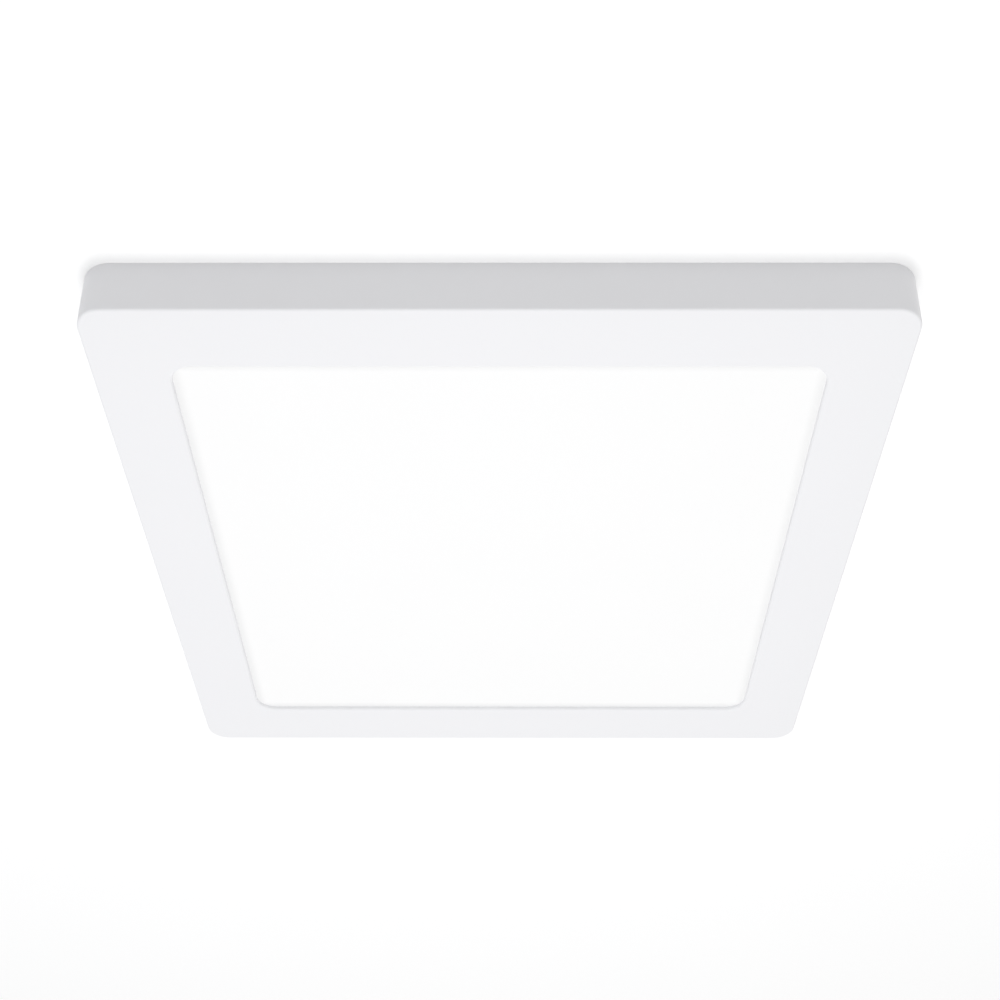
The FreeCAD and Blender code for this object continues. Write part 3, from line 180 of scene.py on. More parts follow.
class MouldingSettings(bpy.types.PropertyGroup):
    """Edges and colours of the small mouldings."""

    edge: length("Edge", "Rounding of the moulded edges", 0.4 * MM)
    driver: tint("Driver case", "Colour of the driver's case and lid", "EBEBE8")
    terminal: tint("Terminal block", "Colour of the terminal block", "DADBD7")
    button: tint("Button", "Colour of the release buttons", "D9772B")
    rubber: tint("Rubber", "Colour of the grommets", "1E1E1F")
    foam: tint("Foam", "Colour of the backing foam", "E6E6E2")
    connector: tint("Connector", "Colour of the lead's connector", "EFEBDD")


class WireSettings(bpy.types.PropertyGroup):
    """Sizes and colours of the inner wires."""

    core: length("Wire", "Diameter of a mains wire", 2.0 * MM)
    lead: length("Lead", "Diameter of the output lead", 2.6 * MM)
    facets: count("Facets", "Faces round a wire", 20)
    brown: tint("Brown", "Colour of the live wire", "5B3620")
    blue: tint("Blue", "Colour of the neutral wire", "2F5FA5")
    green: tint("Green", "Colour of the earth wire", "3E8E3A")
    yellow: tint("Yellow", "Stripe of the earth wire", "E3CC2F")
    white: tint("White", "Colour of the output lead", "EDEDEA")


class StageSettings(bpy.types.PropertyGroup):
    """Light, background and camera."""

    surround: level("Surround", "Light that comes from all round", 0.62)
    backdrop: level("Backdrop", "What is seen of the surroundings, where 1 is white", 1.0)
    ceiling_glow: level("Ceiling glow", "Added to the ceiling where it is seen", 0.28)
    floor_glow: level("Floor glow", "Added to the floor where it is seen", 0.5)
    emulsion: tint("Emulsion", "Colour of the ceiling and the floor", "E4E4E4")
    room: length("Room height", "From the floor to the ceiling", 2.4)
    lens: FloatProperty(name="Lens", description="Focal length", default=49.54,
                        subtype="DISTANCE_CAMERA")


SETTINGS = {
    "housing": HousingSettings, "fasteners": FastenerSettings, "sheet": SheetSettings,
    "mouldings": MouldingSettings, "wires": WireSettings, "stage": StageSettings,
}


def settings(group):
    """The sizes and colours of a group, as the scene holds them."""
    return getattr(bpy.context.scene, f"light_{group}")


# Node trees


def node(tree, kind, links=None, **traits):
    """Add a node with its settings. An input takes a value, a socket, a node or a list of these."""
    made = tree.nodes.new(kind)
    for name, value in traits.items():
        setattr(made, name, value)
    for place, value in (links or {}).items():
        for source in value if isinstance(value, list) else [value]:
            if isinstance(source, bpy.types.Node):
                source = next(socket for socket in source.outputs if socket.enabled)
            if isinstance(source, bpy.types.NodeSocket):
                tree.links.new(source, made.inputs[place])
            else:
                made.inputs[place].default_value = source
    return made


def new_material(name):
    """An empty node material, its tree, and the Object coordinates that its patterns follow."""
    material = bpy.data.materials.new(name)
    material.use_nodes = True
    tree = material.node_tree
    tree.nodes.clear()
    return material, tree, node(tree, "ShaderNodeTexCoord").outputs["Object"]


def coat_with(tree, **sockets):
    """End a material's tree in a Principled shader."""
    names = {name.replace("_", " "): value for name, value in sockets.items()}
    shader = node(tree, "ShaderNodeBsdfPrincipled", names)
    node(tree, "ShaderNodeOutputMaterial", {"Surface": shader})


# Materials


def moulded(name, colour, grain, depth, rough, ior, flow=20 * MM, uneven=0.03):
    """A plastic or rubber with the grain of its tool, and with faint flow marks in its colour."""
    material, tree, place = new_material(name)
    pattern = node(tree, "ShaderNodeTexNoise", {"Vector": place, "Scale": 1 / grain, "Detail": 2.0})
    marks = node(tree, "ShaderNodeTexNoise", {"Vector": place, "Scale": 1 / flow, "Detail": 2.0})
    coat_with(
        tree,
        Base_Color=node(tree, "ShaderNodeMix", {
            0: marks, 6: shade(colour), 7: shade(colour, 1 - uneven)}, data_type="RGBA"),
        Roughness=node(tree, "ShaderNodeMapRange", {
            "Value": pattern, "From Min": NOISE_LOW, "From Max": NOISE_HIGH,
            "To Min": rough - 0.05, "To Max": rough + 0.07}),
        IOR=ior,
        Normal=node(tree, "ShaderNodeBump", {
            "Height": pattern, "Distance": depth, "Strength": 0.6}),
    )
    return material


def rolled(name, colour, rough, line, stretch, uneven=0.14, stain=6 * MM):
    """Bare or plated metal with the lines of its rolls or dies, and faint stains."""
    material, tree, place = new_material(name)
    drawn = node(tree, "ShaderNodeMapping", {"Vector": place, "Scale": stretch})
    lines = node(tree, "ShaderNodeTexNoise", {"Vector": drawn, "Scale": 1 / line, "Detail": 3.0})
    stains = node(tree, "ShaderNodeTexNoise", {"Vector": place, "Scale": 1 / stain, "Detail": 2.0})
    coat_with(
        tree,
        Base_Color=node(tree, "ShaderNodeMix", {
            0: stains, 6: shade(colour), 7: shade(colour, 1 - uneven)}, data_type="RGBA"),
        Metallic=1.0,
        Roughness=node(tree, "ShaderNodeMapRange", {
            "Value": lines, "From Min": NOISE_LOW, "From Max": NOISE_HIGH,
            "To Min": rough - 0.06, "To Max": rough + 0.08}),
        Normal=node(tree, "ShaderNodeBump", {
            "Height": lines, "Distance": 0.004 * MM, "Strength": 0.5}),
    )
    return material


def galvanised(name, colour, spangle, wave=2 * MM, reach=1 * MM, feather=0.8 * MM):
    """Galvanised steel: wavy zinc crystals with feathered insides, each with its own tone."""
    material, tree, place = new_material(name)
    wander = node(tree, "ShaderNodeTexNoise", {"Vector": place, "Scale": 1 / wave, "Detail": 3.0})
    bent = node(tree, "ShaderNodeVectorMath", {
        0: wander.outputs["Color"], 1: (reach,) * 3, 2: place}, operation="MULTIPLY_ADD")
    crystal = node(tree, "ShaderNodeTexVoronoi", {"Vector": bent, "Scale": 1 / spangle})
    tone = node(tree, "ShaderNodeSeparateColor", {"Color": crystal.outputs["Color"]})
    needles = node(tree, "ShaderNodeTexNoise", {
        "Vector": place, "Scale": 1 / feather, "Detail": 3.0})
    gloss = node(tree, "ShaderNodeMix", {0: 0.35, 2: tone, 3: needles})
    coat_with(
        tree,
        Base_Color=node(tree, "ShaderNodeMix", {0: gloss, 6: shade(colour), 7: shade(colour, 0.8)},
                        data_type="RGBA"),
        Metallic=1.0,
        Roughness=node(tree, "ShaderNodeMapRange", {"Value": gloss, "To Min": 0.3, "To Max": 0.5}),
        Normal=node(tree, "ShaderNodeBump", {
            "Height": gloss, "Distance": 0.02 * MM, "Strength": 0.5}),
    )
    return material


def lit_opal(colour, glow, window, dark_edge, left=0.55, cloud_size=40 * MM, skin_size=0.5 * MM):
    """Opal PMMA, extruded: even light that falls to a share that is left at the window's edge."""
    material, tree, place = new_material("opal PMMA, extruded, lit")
    reach = node(tree, "ShaderNodeSeparateXYZ", {
        "Vector": node(tree, "ShaderNodeVectorMath", {0: place}, operation="ABSOLUTE")})
    far = node(tree, "ShaderNodeMath", {
        0: reach.outputs["X"], 1: reach.outputs["Y"]}, operation="MAXIMUM")
    light = node(tree, "ShaderNodeMapRange", {
        "Value": far, "From Min": window - dark_edge, "From Max": window, "To Min": glow,
        "To Max": glow * left}, interpolation_type="SMOOTHSTEP")
    cloud = node(tree, "ShaderNodeTexNoise", {
        "Vector": place, "Scale": 1 / cloud_size, "Detail": 1.0})
    skin = node(tree, "ShaderNodeTexNoise", {
        "Vector": place, "Scale": 1 / skin_size, "Detail": 1.0})
    coat_with(
        tree,
        Base_Color=node(tree, "ShaderNodeMix", {0: cloud, 6: shade(colour), 7: shade(colour, 0.99)},
                        data_type="RGBA"),
        Roughness=0.5,
        IOR=1.49,
        Emission_Color=(1.0, 1.0, 0.995, 1.0),
        Emission_Strength=light,
        Normal=node(tree, "ShaderNodeBump", {
            "Height": skin, "Distance": 0.002 * MM, "Strength": 0.4}),
    )
    return material


def dotted_guide(colour, pitch=2 * MM, dot=0.18, dot_rim=0.24):
    """Clear PMMA, cast: laser dots, with radii as shares of their pitch, scatter its light."""
    material, tree, place = new_material("clear PMMA, cast, laser-dotted")
    dots = node(tree, "ShaderNodeTexVoronoi", {
        "Vector": place, "Scale": 1 / pitch, "Randomness": 0.0})
    coat_with(
        tree,
        Base_Color=shade(colour),
        Roughness=node(tree, "ShaderNodeMapRange", {
            "Value": dots, "From Min": dot, "From Max": dot_rim, "To Min": 0.9, "To Max": 0.12}),
        IOR=1.49,
        Transmission_Weight=0.7,
    )
    return material


def skived_foam(colour, cell=0.6 * MM):
    """EVA foam, skived: matt, with cut cells that show as small pits."""
    material, tree, place = new_material("EVA foam, skived")
    cells = node(tree, "ShaderNodeTexVoronoi", {"Vector": place, "Scale": 1 / cell})
    coat_with(
        tree,
        Base_Color=node(tree, "ShaderNodeMix", {0: cells, 6: shade(colour), 7: shade(colour, 0.8)},
                        data_type="RGBA"),
        Roughness=0.92,
        Normal=node(tree, "ShaderNodeBump", {"Height": cells, "Distance": cell / 4}),
    )
    return material


def lit_phosphor(colour, cup, middle, window=2.2 * MM):
    """LED: a window of yellow phosphor in silicone, set in a white PPA cup."""
    material, tree, place = new_material("LED phosphor in silicone")
    height = node(tree, "ShaderNodeSeparateXYZ", {"Vector": place}).outputs["Z"]
    lit = node(tree, "ShaderNodeMath", {0: height, 1: middle, 2: window / 2}, operation="COMPARE")
    coat_with(
        tree,
        Base_Color=node(tree, "ShaderNodeMix", {0: lit, 6: shade(cup), 7: shade(colour)},
                        data_type="RGBA"),
        Roughness=0.4,
        IOR=1.41,
        Emission_Color=(1.0, 0.95, 0.8, 1.0),
        Emission_Strength=0.4,
    )
    return material


def wound_copper(colour, wire=0.35 * MM):
    """Enamelled copper, wound: windings side by side, with painted shade between them, where the
    base colour falls to half.
    """
    material, tree, place = new_material("copper wire, enamelled, wound")
    turns_and_painted_shade = node(tree, "ShaderNodeTexWave", {"Vector": place, "Scale": WAVE / wire},
                 bands_direction="Z")
    coat_with(
        tree,
        # painted shade: the base colour falls to half in the grooves between the windings
        Base_Color=node(tree, "ShaderNodeMix", {0: turns_and_painted_shade, 6: shade(colour, 0.5), 7: shade(colour)},
                        data_type="RGBA"),
        Metallic=1.0,
        Roughness=0.3,
        Normal=node(tree, "ShaderNodeBump", {"Height": turns_and_painted_shade, "Distance": 0.08 * MM}),
    )
    return material


def sleeve(colour_name, colour, stripe=None, drag=1.5 * MM):
    """PVC wire sleeve, extruded: a soft gloss, faint drag marks and a stripe on half its girth."""
    material, tree, place = new_material(f"PVC sleeve, {colour_name}, extruded")
    girth = node(tree, "ShaderNodeSeparateXYZ", {
        "Vector": node(tree, "ShaderNodeUVMap", uv_map="along")})
    half = node(tree, "ShaderNodeMath", {0: girth.outputs["X"], 1: 0.5}, operation="GREATER_THAN")
    marks = node(tree, "ShaderNodeTexNoise", {"Vector": place, "Scale": 1 / drag, "Detail": 3.0})
    striped = node(tree, "ShaderNodeMix", {0: half, 6: shade(colour), 7: shade(stripe or colour)},
                   data_type="RGBA")
    coat_with(
        tree,
        Base_Color=node(tree, "ShaderNodeMix", {0: marks, 6: striped, 7: shade(WHITE, 0.85)},
                        data_type="RGBA", blend_type="MULTIPLY"),
        Roughness=node(tree, "ShaderNodeMapRange", {
            "Value": marks, "To Min": 0.28, "To Max": 0.45}),
        IOR=1.54,
        Normal=node(tree, "ShaderNodeBump", {
            "Height": marks, "Distance": 0.01 * MM, "Strength": 0.5}),
    )
    return material


def seen_directly(tree):
    """1 for what the camera sees, straight or in gloss or glass."""
    path = node(tree, "ShaderNodeLightPath")
    either = node(tree, "ShaderNodeMath", {0: path.outputs["Is Camera Ray"],
                                           1: path.outputs["Is Glossy Ray"]}, operation="MAXIMUM")
    return node(tree, "ShaderNodeMath", {0: either, 1: path.outputs["Is Transmission Ray"]},
                operation="MAXIMUM")


def emulsion(name, colour, glow, one_sided=False, nap=3 * MM):
    """White emulsion on plaster: dead matt with a roller's soft stipple, paler where it is seen."""
    material, tree, place = new_material(name)
    stipple = node(tree, "ShaderNodeTexNoise", {"Vector": place, "Scale": 1 / nap})
    rough = node(tree, "ShaderNodeBump", {
        "Height": stipple, "Distance": 0.02 * MM, "Strength": 0.3})
    coat = node(tree, "ShaderNodeBsdfDiffuse", {"Color": shade(colour), "Normal": rough})
    strength = node(tree, "ShaderNodeMath", {0: seen_directly(tree), 1: glow}, operation="MULTIPLY")
    whole = node(tree, "ShaderNodeAddShader", {
        0: coat, 1: node(tree, "ShaderNodeEmission", {"Strength": strength})})
    if one_sided:
        whole = node(tree, "ShaderNodeMixShader", {
            0: node(tree, "ShaderNodeNewGeometry").outputs["Backfacing"], 1: whole,
            2: node(tree, "ShaderNodeBsdfTransparent")})
    node(tree, "ShaderNodeOutputMaterial", {"Surface": whole})
    return material


# Meshes


def placed(thing):
    """Link an object to the scene."""
    bpy.context.scene.collection.objects.link(thing)
    return thing


def present(name, mesh, material, stands_for, whole=True):
    """Put a finished mesh in the scene with its material and the body of the CAD node it stands for.
    """
    mesh.materials.clear()
    mesh.materials.append(material)
    piece = placed(bpy.data.objects.new(name, mesh))
    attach(piece, BODIES[stands_for])
    if whole:
        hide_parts(stands_for)


def dress(names, material):
    """Give CAD nodes that keep their own mesh a finished material."""
    for name in names:
        NODES[name].data.materials.clear()
        NODES[name].data.materials.append(material)


def smooth(mesh, angle=SHARP):
    """Smooth shading, except over edges that turn by more than an angle."""
    mesh.shade_smooth()
    mesh.set_sharp_from_angle(angle=math.radians(angle))


def mesh_of(name, fill):
    """A mesh from a function that fills a bmesh, with its normals outwards."""
    work = bmesh.new()
    fill(work)
    bmesh.ops.recalc_face_normals(work, faces=work.faces)
    mesh = bpy.data.meshes.new(name)
    work.to_mesh(mesh)
    work.free()
    return mesh


def baked(thing):
    """The plain mesh of an object with its modifiers done; the object goes."""
    graph = bpy.context.evaluated_depsgraph_get()
    mesh = bpy.data.meshes.new_from_object(thing.evaluated_get(graph), depsgraph=graph)
    thing.modifiers.clear()
    bpy.data.objects.remove(thing)
    return mesh


def refine(names, material, width, segments=2, corners=0.0):
    """Stand a merged copy with rounded edges in for each CAD node.

    The edges that lie on two sides of its box, the corners of a block, may have a wider round.
    """

    def fill(work):
        work.from_mesh(NODES[name].data)
        bmesh.ops.remove_doubles(work, verts=work.verts, dist=MERGE)
        bmesh.ops.dissolve_limit(work, angle_limit=math.radians(FLAT), verts=work.verts,
                                 edges=work.edges)
        if corners:
            sides = [(axis, corner[axis]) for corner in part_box(name) for axis in range(3)]
            outer = [
                edge for edge in work.edges
                if 1 < sum(all(abs(vert.co[axis] - side) < MERGE for vert in edge.verts)
                           for axis, side in sides)]
            bmesh.ops.bevel(work, geom=outer, offset=corners, segments=4, profile=0.5,
                            affect="EDGES")

    for name in names:
        mesh = mesh_of(name, fill)
        smooth(mesh)
        rounded = placed(bpy.data.objects.new(name, mesh))
        bevel = rounded.modifiers.new("edges", "BEVEL")
        bevel.width = width
        bevel.segments = segments
        bevel.limit_method = "ANGLE"
        bevel.angle_limit = math.radians(SHARP)
        rounded.modifiers.new("even shading", "WEIGHTED_NORMAL").keep_sharp = True
        present(f"{name}_finished", baked(rounded), material, name)


def extrude(work, outline, along):
    """A prism from a closed outline."""
    near = [work.verts.new(point) for point in outline]
    far = [work.verts.new(point + along) for point in outline]
    work.faces.new(near)
    work.faces.new(reversed(far))
    for step in range(len(outline)):
        after = (step + 1) % len(outline)
        work.faces.new((near[step], far[step], far[after], near[after]))


def block(work, low, high):
    """A straight block between two corners."""
    outline = [Vector((x, y, low[2])) for x, y in
               ((low[0], low[1]), (high[0], low[1]), (high[0], high[1]), (low[0], high[1]))]
    extrude(work, outline, Vector((0, 0, high[2] - low[2])))


def route_line(points):
    """The points of a smooth line that bends inside the corners of a wire's route."""
    curve = bpy.data.curves.new("route", "CURVE")
    curve.dimensions = "3D"
    spline = curve.splines.new("NURBS")
    spline.points.add(len(points) - 1)
    for spot, point in zip(spline.points, points):
        spot.co = (*(value * MM for value in point), 1.0)
    spline.order_u = 3
    spline.use_endpoint_u = True
    carrier = placed(bpy.data.objects.new("route", curve))
    line = bpy.data.meshes.new_from_object(carrier)
    bpy.data.objects.remove(carrier)
    return [vertex.co.copy() for vertex in line.vertices]


def wire_mesh(path, diameter, facets):
    """A capped tube along a line. Its UV map runs round it in X and along it, in metres, in Y."""

    def fill(work):
        along = work.loops.layers.uv.new("along")
        rows, walked = [], [0.0]
        across = (path[1] - path[0]).orthogonal().normalized()
        for index, point in enumerate(path):
            forward = (path[min(index + 1, len(path) - 1)] - path[max(index - 1, 0)]).normalized()
            across = (across - forward * across.dot(forward)).normalized()
            walked.append(walked[-1] + (point - path[max(index - 1, 0)]).length)
            rows.append([
                work.verts.new(point + Matrix.Rotation(math.tau * step / facets, 3, forward)
                               @ (across * diameter / 2)) for step in range(facets)
            ])
        for index in range(len(rows) - 1):
            for step in range(facets):
                corners = ((index, step), (index, step + 1),
                           (index + 1, step + 1), (index + 1, step))
                face = work.faces.new([rows[row][place % facets] for row, place in corners])
                for loop, (row, place) in zip(face.loops, corners):
                    loop[along].uv = (place / facets, walked[row + 1])
        work.faces.new(rows[0])
        work.faces.new(rows[-1])

    mesh = mesh_of("wire", fill)
    smooth(mesh, angle=50)
    return mesh


def islands(name):
    """The middle of each separate solid of a CAD node, seen from above, and the largest width."""
    work = bmesh.new()
    work.from_mesh(NODES[name].data)
    bmesh.ops.remove_doubles(work, verts=work.verts, dist=MERGE)
    left = set(work.verts)
    middles, widest = [], 0.0
    while left:
        group = [left.pop()]
        for vertex in group:
            near = {edge.other_vert(vertex) for edge in vertex.link_edges} & left
            group.extend(near)
            left -= near
        low, high = (Vector([pick(v.co[axis] for v in group) for axis in range(2)])
                     for pick in (min, max))
        middles.append((low + high) / 2)
        widest = max(widest, *(high - low))
    work.free()
    # always in the same order, so that each screw keeps the turn that it draws
    return sorted(middles, key=lambda middle: middle.to_tuple(4)), widest


# Geometry Nodes


def new_tree(name, **inputs):
    """A geometry tree with its named inputs, and the node that brings them in."""
    tree = bpy.data.node_groups.new(name, "GeometryNodeTree")
    tree.interface.new_socket("Geometry", in_out="INPUT", socket_type="NodeSocketGeometry")
    tree.interface.new_socket("Geometry", in_out="OUTPUT", socket_type="NodeSocketGeometry")
    for label, kind in inputs.items():
        tree.interface.new_socket(label.replace("_", " "), in_out="INPUT",
                                  socket_type=f"NodeSocket{kind}")
    return tree, node(tree, "NodeGroupInput").outputs


def end_tree(tree, geometry, material):
    """End a geometry tree in plain geometry with its material."""
    whole = node(tree, "GeometryNodeRealizeInstances", {"Geometry": geometry})
    dressed = node(tree, "GeometryNodeSetMaterial", {"Geometry": whole, "Material": material})
    node(tree, "NodeGroupOutput", {"Geometry": dressed})
    return tree


def grown(tree, start, **values):
    """Run a geometry tree on a starting mesh and return the plain mesh that it makes."""
    carrier = placed(bpy.data.objects.new(tree.name, start))
    grower = carrier.modifiers.new("grow", "NODES")
    grower.node_group = tree
    sockets = {item.name.replace(" ", "_"): item.identifier for item in tree.interface.items_tree
               if item.in_out == "INPUT"}
    for name, value in values.items():
        grower[sockets[name]] = value
    return baked(carrier)


def swept_square_tree():
    """Sweep a closed section round a square with round corners.

    Each point of the section holds its half width in X, its corner radius in Y and its level in Z.
    """
    tree, given = new_tree("moulded square shell", Corner_Steps="Int", Material="Material")
    section = given["Geometry"]
    total = node(tree, "GeometryNodeAttributeDomainSize", {
        "Geometry": section}).outputs["Point Count"]
    corner = node(tree, "ShaderNodeMath", {0: given["Corner Steps"], 1: 1.0}, operation="ADD")
    around = node(tree, "ShaderNodeMath", {0: corner, 1: 4.0, 2: 1.0}, operation="MULTIPLY_ADD")
    rows = node(tree, "ShaderNodeMath", {0: total, 1: 1.0}, operation="ADD")
    grid = node(tree, "GeometryNodeMeshGrid", {"Vertices X": rows, "Vertices Y": around})
    index = node(tree, "GeometryNodeInputIndex")
    row = node(tree, "ShaderNodeMath", {
        0: node(tree, "ShaderNodeMath", {0: index, 1: around}, operation="DIVIDE")},
        operation="FLOOR")
    point = node(tree, "GeometryNodeSampleIndex", {
        "Geometry": section, "Value": node(tree, "GeometryNodeInputPosition"),
        "Index": node(tree, "ShaderNodeMath", {0: row, 1: total}, operation="MODULO"),
    }, data_type="FLOAT_VECTOR")
    half = node(tree, "ShaderNodeSeparateXYZ", {"Vector": point}).outputs
    step = node(tree, "ShaderNodeMath", {0: index, 1: around}, operation="MODULO")
    quarter = node(tree, "ShaderNodeMath", {
        0: node(tree, "ShaderNodeMath", {0: step, 1: corner}, operation="DIVIDE")},
        operation="FLOOR")
    within = node(tree, "ShaderNodeMath", {0: step, 1: corner}, operation="MODULO")
    angle = node(tree, "ShaderNodeMath", {
        0: node(tree, "ShaderNodeMath", {0: within, 1: given["Corner Steps"]}, operation="DIVIDE"),
        1: math.pi / 2}, operation="MULTIPLY")
    core = node(tree, "ShaderNodeMath", {0: half["X"], 1: half["Y"]}, operation="SUBTRACT")
    spot = [
        node(tree, "ShaderNodeMath", {
            0: half["Y"], 1: node(tree, "ShaderNodeMath", {0: angle}, operation=turn), 2: core},
            operation="MULTIPLY_ADD")
        for turn in ("COSINE", "SINE")
    ]
    first = node(tree, "ShaderNodeCombineXYZ", {"X": spot[0], "Y": spot[1], "Z": half["Z"]})
    turned = node(tree, "ShaderNodeVectorRotate", {
        "Vector": first,
        "Angle": node(tree, "ShaderNodeMath", {0: quarter, 1: math.pi / 2}, operation="MULTIPLY"),
    }, rotation_type="Z_AXIS")
    shaped = node(tree, "GeometryNodeSetPosition", {"Geometry": grid, "Position": turned})
    closed = node(tree, "GeometryNodeMergeByDistance", {"Geometry": shaped, "Distance": SEAM})
    return end_tree(tree, closed, given["Material"])


def four_sides_tree():
    """Repeat a shape in a row along each of the four sides."""
    tree, given = new_tree("rows on four sides", Spacing="Float", Count="Int", Material="Material")
    gaps = node(tree, "ShaderNodeMath", {0: given["Count"], 1: -1.0}, operation="ADD")
    run = node(tree, "ShaderNodeMath", {0: gaps, 1: given["Spacing"]}, operation="MULTIPLY")
    start = node(tree, "ShaderNodeMath", {0: run, 1: -0.5}, operation="MULTIPLY")
    row = node(tree, "GeometryNodeMeshLine", {
        "Count": given["Count"], "Start Location": node(tree, "ShaderNodeCombineXYZ", {"Y": start}),
        "Offset": node(tree, "ShaderNodeCombineXYZ", {"Y": given["Spacing"]})})
    side = node(tree, "GeometryNodeInstanceOnPoints", {
        "Points": row, "Instance": given["Geometry"]})
    sides = [node(tree, "GeometryNodeTransform", {
        "Geometry": side, "Rotation": (0.0, 0.0, turn * math.pi / 2)}) for turn in range(4)]
    whole = node(tree, "GeometryNodeJoinGeometry", {"Geometry": sides})
    return end_tree(tree, whole, given["Material"])


HEAD_SIDES, HEAD_RINGS, SHANK_SIDES = 40, 16, 20
HEAD_ROUND = 4.0  # power of the curve that falls from the top of a head to its edge


def pan_head(tree, diameter, height):
    """A round head on the plane z = 0: flat underneath, level on top and rounded at its edge."""
    ball = node(tree, "GeometryNodeMeshUVSphere", {
        "Segments": HEAD_SIDES, "Rings": HEAD_RINGS, "Radius": 0.5})
    spot = node(tree, "GeometryNodeInputPosition")
    flat = node(tree, "ShaderNodeVectorMath", {0: spot, 1: (1.0, 1.0, 0.0)}, operation="MULTIPLY")
    out = node(tree, "ShaderNodeVectorMath", {0: flat}, operation="LENGTH").outputs["Value"]
    share = node(tree, "ShaderNodeMath", {0: out, 1: 2.0}, operation="MULTIPLY")
    drop = node(tree, "ShaderNodeMath", {0: share, 1: HEAD_ROUND}, operation="POWER")
    rise = node(tree, "ShaderNodeMath", {
        0: node(tree, "ShaderNodeMath", {0: 1.0, 1: drop}, operation="SUBTRACT")}, operation="SQRT")
    above = node(tree, "ShaderNodeMath", {
        0: node(tree, "ShaderNodeSeparateXYZ", {"Vector": spot}).outputs["Z"], 1: 0.01},
        operation="GREATER_THAN")
    top = node(tree, "ShaderNodeCombineXYZ", {
        "Z": node(tree, "ShaderNodeMath", {0: rise, 1: above}, operation="MULTIPLY")})
    lifted = node(tree, "ShaderNodeVectorMath", {0: flat, 1: top}, operation="ADD")
    moved = node(tree, "GeometryNodeSetPosition", {"Geometry": ball, "Position": lifted})
    return node(tree, "GeometryNodeTransform", {
        "Geometry": moved,
        "Scale": node(tree, "ShaderNodeCombineXYZ", {"X": diameter, "Y": diameter, "Z": height})})


def shank(tree, diameter, length, top, sides):
    """A plain round shank that hangs down from a level."""
    rod = node(tree, "GeometryNodeMeshCylinder", {
        "Vertices": sides, "Depth": length,
        "Radius": node(tree, "ShaderNodeMath", {0: diameter, 1: 0.5}, operation="MULTIPLY")})
    middle = node(tree, "ShaderNodeMath", {0: length, 1: -0.5, 2: top}, operation="MULTIPLY_ADD")
    return node(tree, "GeometryNodeTransform", {
        "Geometry": rod, "Translation": node(tree, "ShaderNodeCombineXYZ", {"Z": middle})})


def screw_tree():
    """Pan head screws with a cross recess, one on each point, each turned its own way."""
    tree, given = new_tree("pan head screws", Head_Diameter="Float", Head_Height="Float",
                           Shank_Diameter="Float", Shank_Length="Float", Recess_Width="Float",
                           Recess_Span="Float", Recess_Depth="Float", Material="Material")
    depth = node(tree, "ShaderNodeMath", {0: given["Recess Depth"], 1: 2.0}, operation="MULTIPLY")
    lift = node(tree, "ShaderNodeCombineXYZ", {"Z": given["Head Height"]})
    wings = []
    for across, along in (("Recess Span", "Recess Width"), ("Recess Width", "Recess Span")):
        size = node(tree, "ShaderNodeCombineXYZ", {
            "X": given[across], "Y": given[along], "Z": depth})
        wing = node(tree, "GeometryNodeMeshCube", {"Size": size})
        wings.append(node(tree, "GeometryNodeTransform", {"Geometry": wing, "Translation": lift}))
    head = node(tree, "GeometryNodeMeshBoolean", {
        "Mesh 1": pan_head(tree, given["Head Diameter"], given["Head Height"]), "Mesh 2": wings},
        operation="DIFFERENCE", solver="EXACT")
    stem = shank(tree, given["Shank Diameter"], given["Shank Length"], 0.0, SHANK_SIDES)
    clean = node(tree, "GeometryNodeMergeByDistance", {"Geometry": head, "Distance": SEAM})
    screw = node(tree, "GeometryNodeJoinGeometry", {"Geometry": [clean, stem]})
    turn = node(tree, "FunctionNodeRandomValue", {"Max": (0.0, 0.0, math.pi), "Seed": 7},
                data_type="FLOAT_VECTOR")
    row = node(tree, "GeometryNodeInstanceOnPoints", {
        "Points": given["Geometry"], "Instance": screw, "Rotation": turn})
    return end_tree(tree, row, given["Material"])


def rivet_tree():
    """Solid rivets, one on each point: a rounded set head above the joint and a flat one below."""
    tree, given = new_tree("solid rivets", Head_Diameter="Float", Head_Height="Float",
                           Shank_Diameter="Float", Grip="Float", Upset_Diameter="Float",
                           Upset_Height="Float", Material="Material")
    under = node(tree, "ShaderNodeMath", {0: given["Grip"], 1: -1.0}, operation="MULTIPLY")
    parts = [
        pan_head(tree, given["Head Diameter"], given["Head Height"]),
        shank(tree, given["Shank Diameter"], given["Grip"], 0.0, SHANK_SIDES),
        shank(tree, given["Upset Diameter"], given["Upset Height"], under, HEAD_SIDES),
    ]
    rivet = node(tree, "GeometryNodeJoinGeometry", {"Geometry": parts})
    row = node(tree, "GeometryNodeInstanceOnPoints", {
        "Points": given["Geometry"], "Instance": rivet})
    return end_tree(tree, row, given["Material"])


def point_mesh(points):
    mesh = bpy.data.meshes.new("points")
    mesh.from_pydata(points, [], [])
    return mesh


def fasten(name, tree, seat, material, **sizes):
    """Stand a fastener from a tree in for each solid of a CAD node, its head seated at a level."""
    middles, head = islands(name)
    mesh = grown(tree, point_mesh([(*middle, seat) for middle in middles]), Head_Diameter=head,
                 Material=material, **sizes)
    smooth(mesh)
    present(f"{name}_finished", mesh, material, name)


# Pieces


EDGE_STEPS = 8  # faces over a rounded edge of the shell
ROOT_SHARE = 0.6  # share of the wall's thickness in which webs and gussets end
BOSS_ROUNDING, BOSS_STEPS = 1 * MM, 4  # of a boss's corners, and faces round each
WEB_STEP = 1 * MM  # from the top of a boss down to its web


class PieceOperator:
    """What the operators share."""

    bl_options = {"REGISTER", "UNDO"}


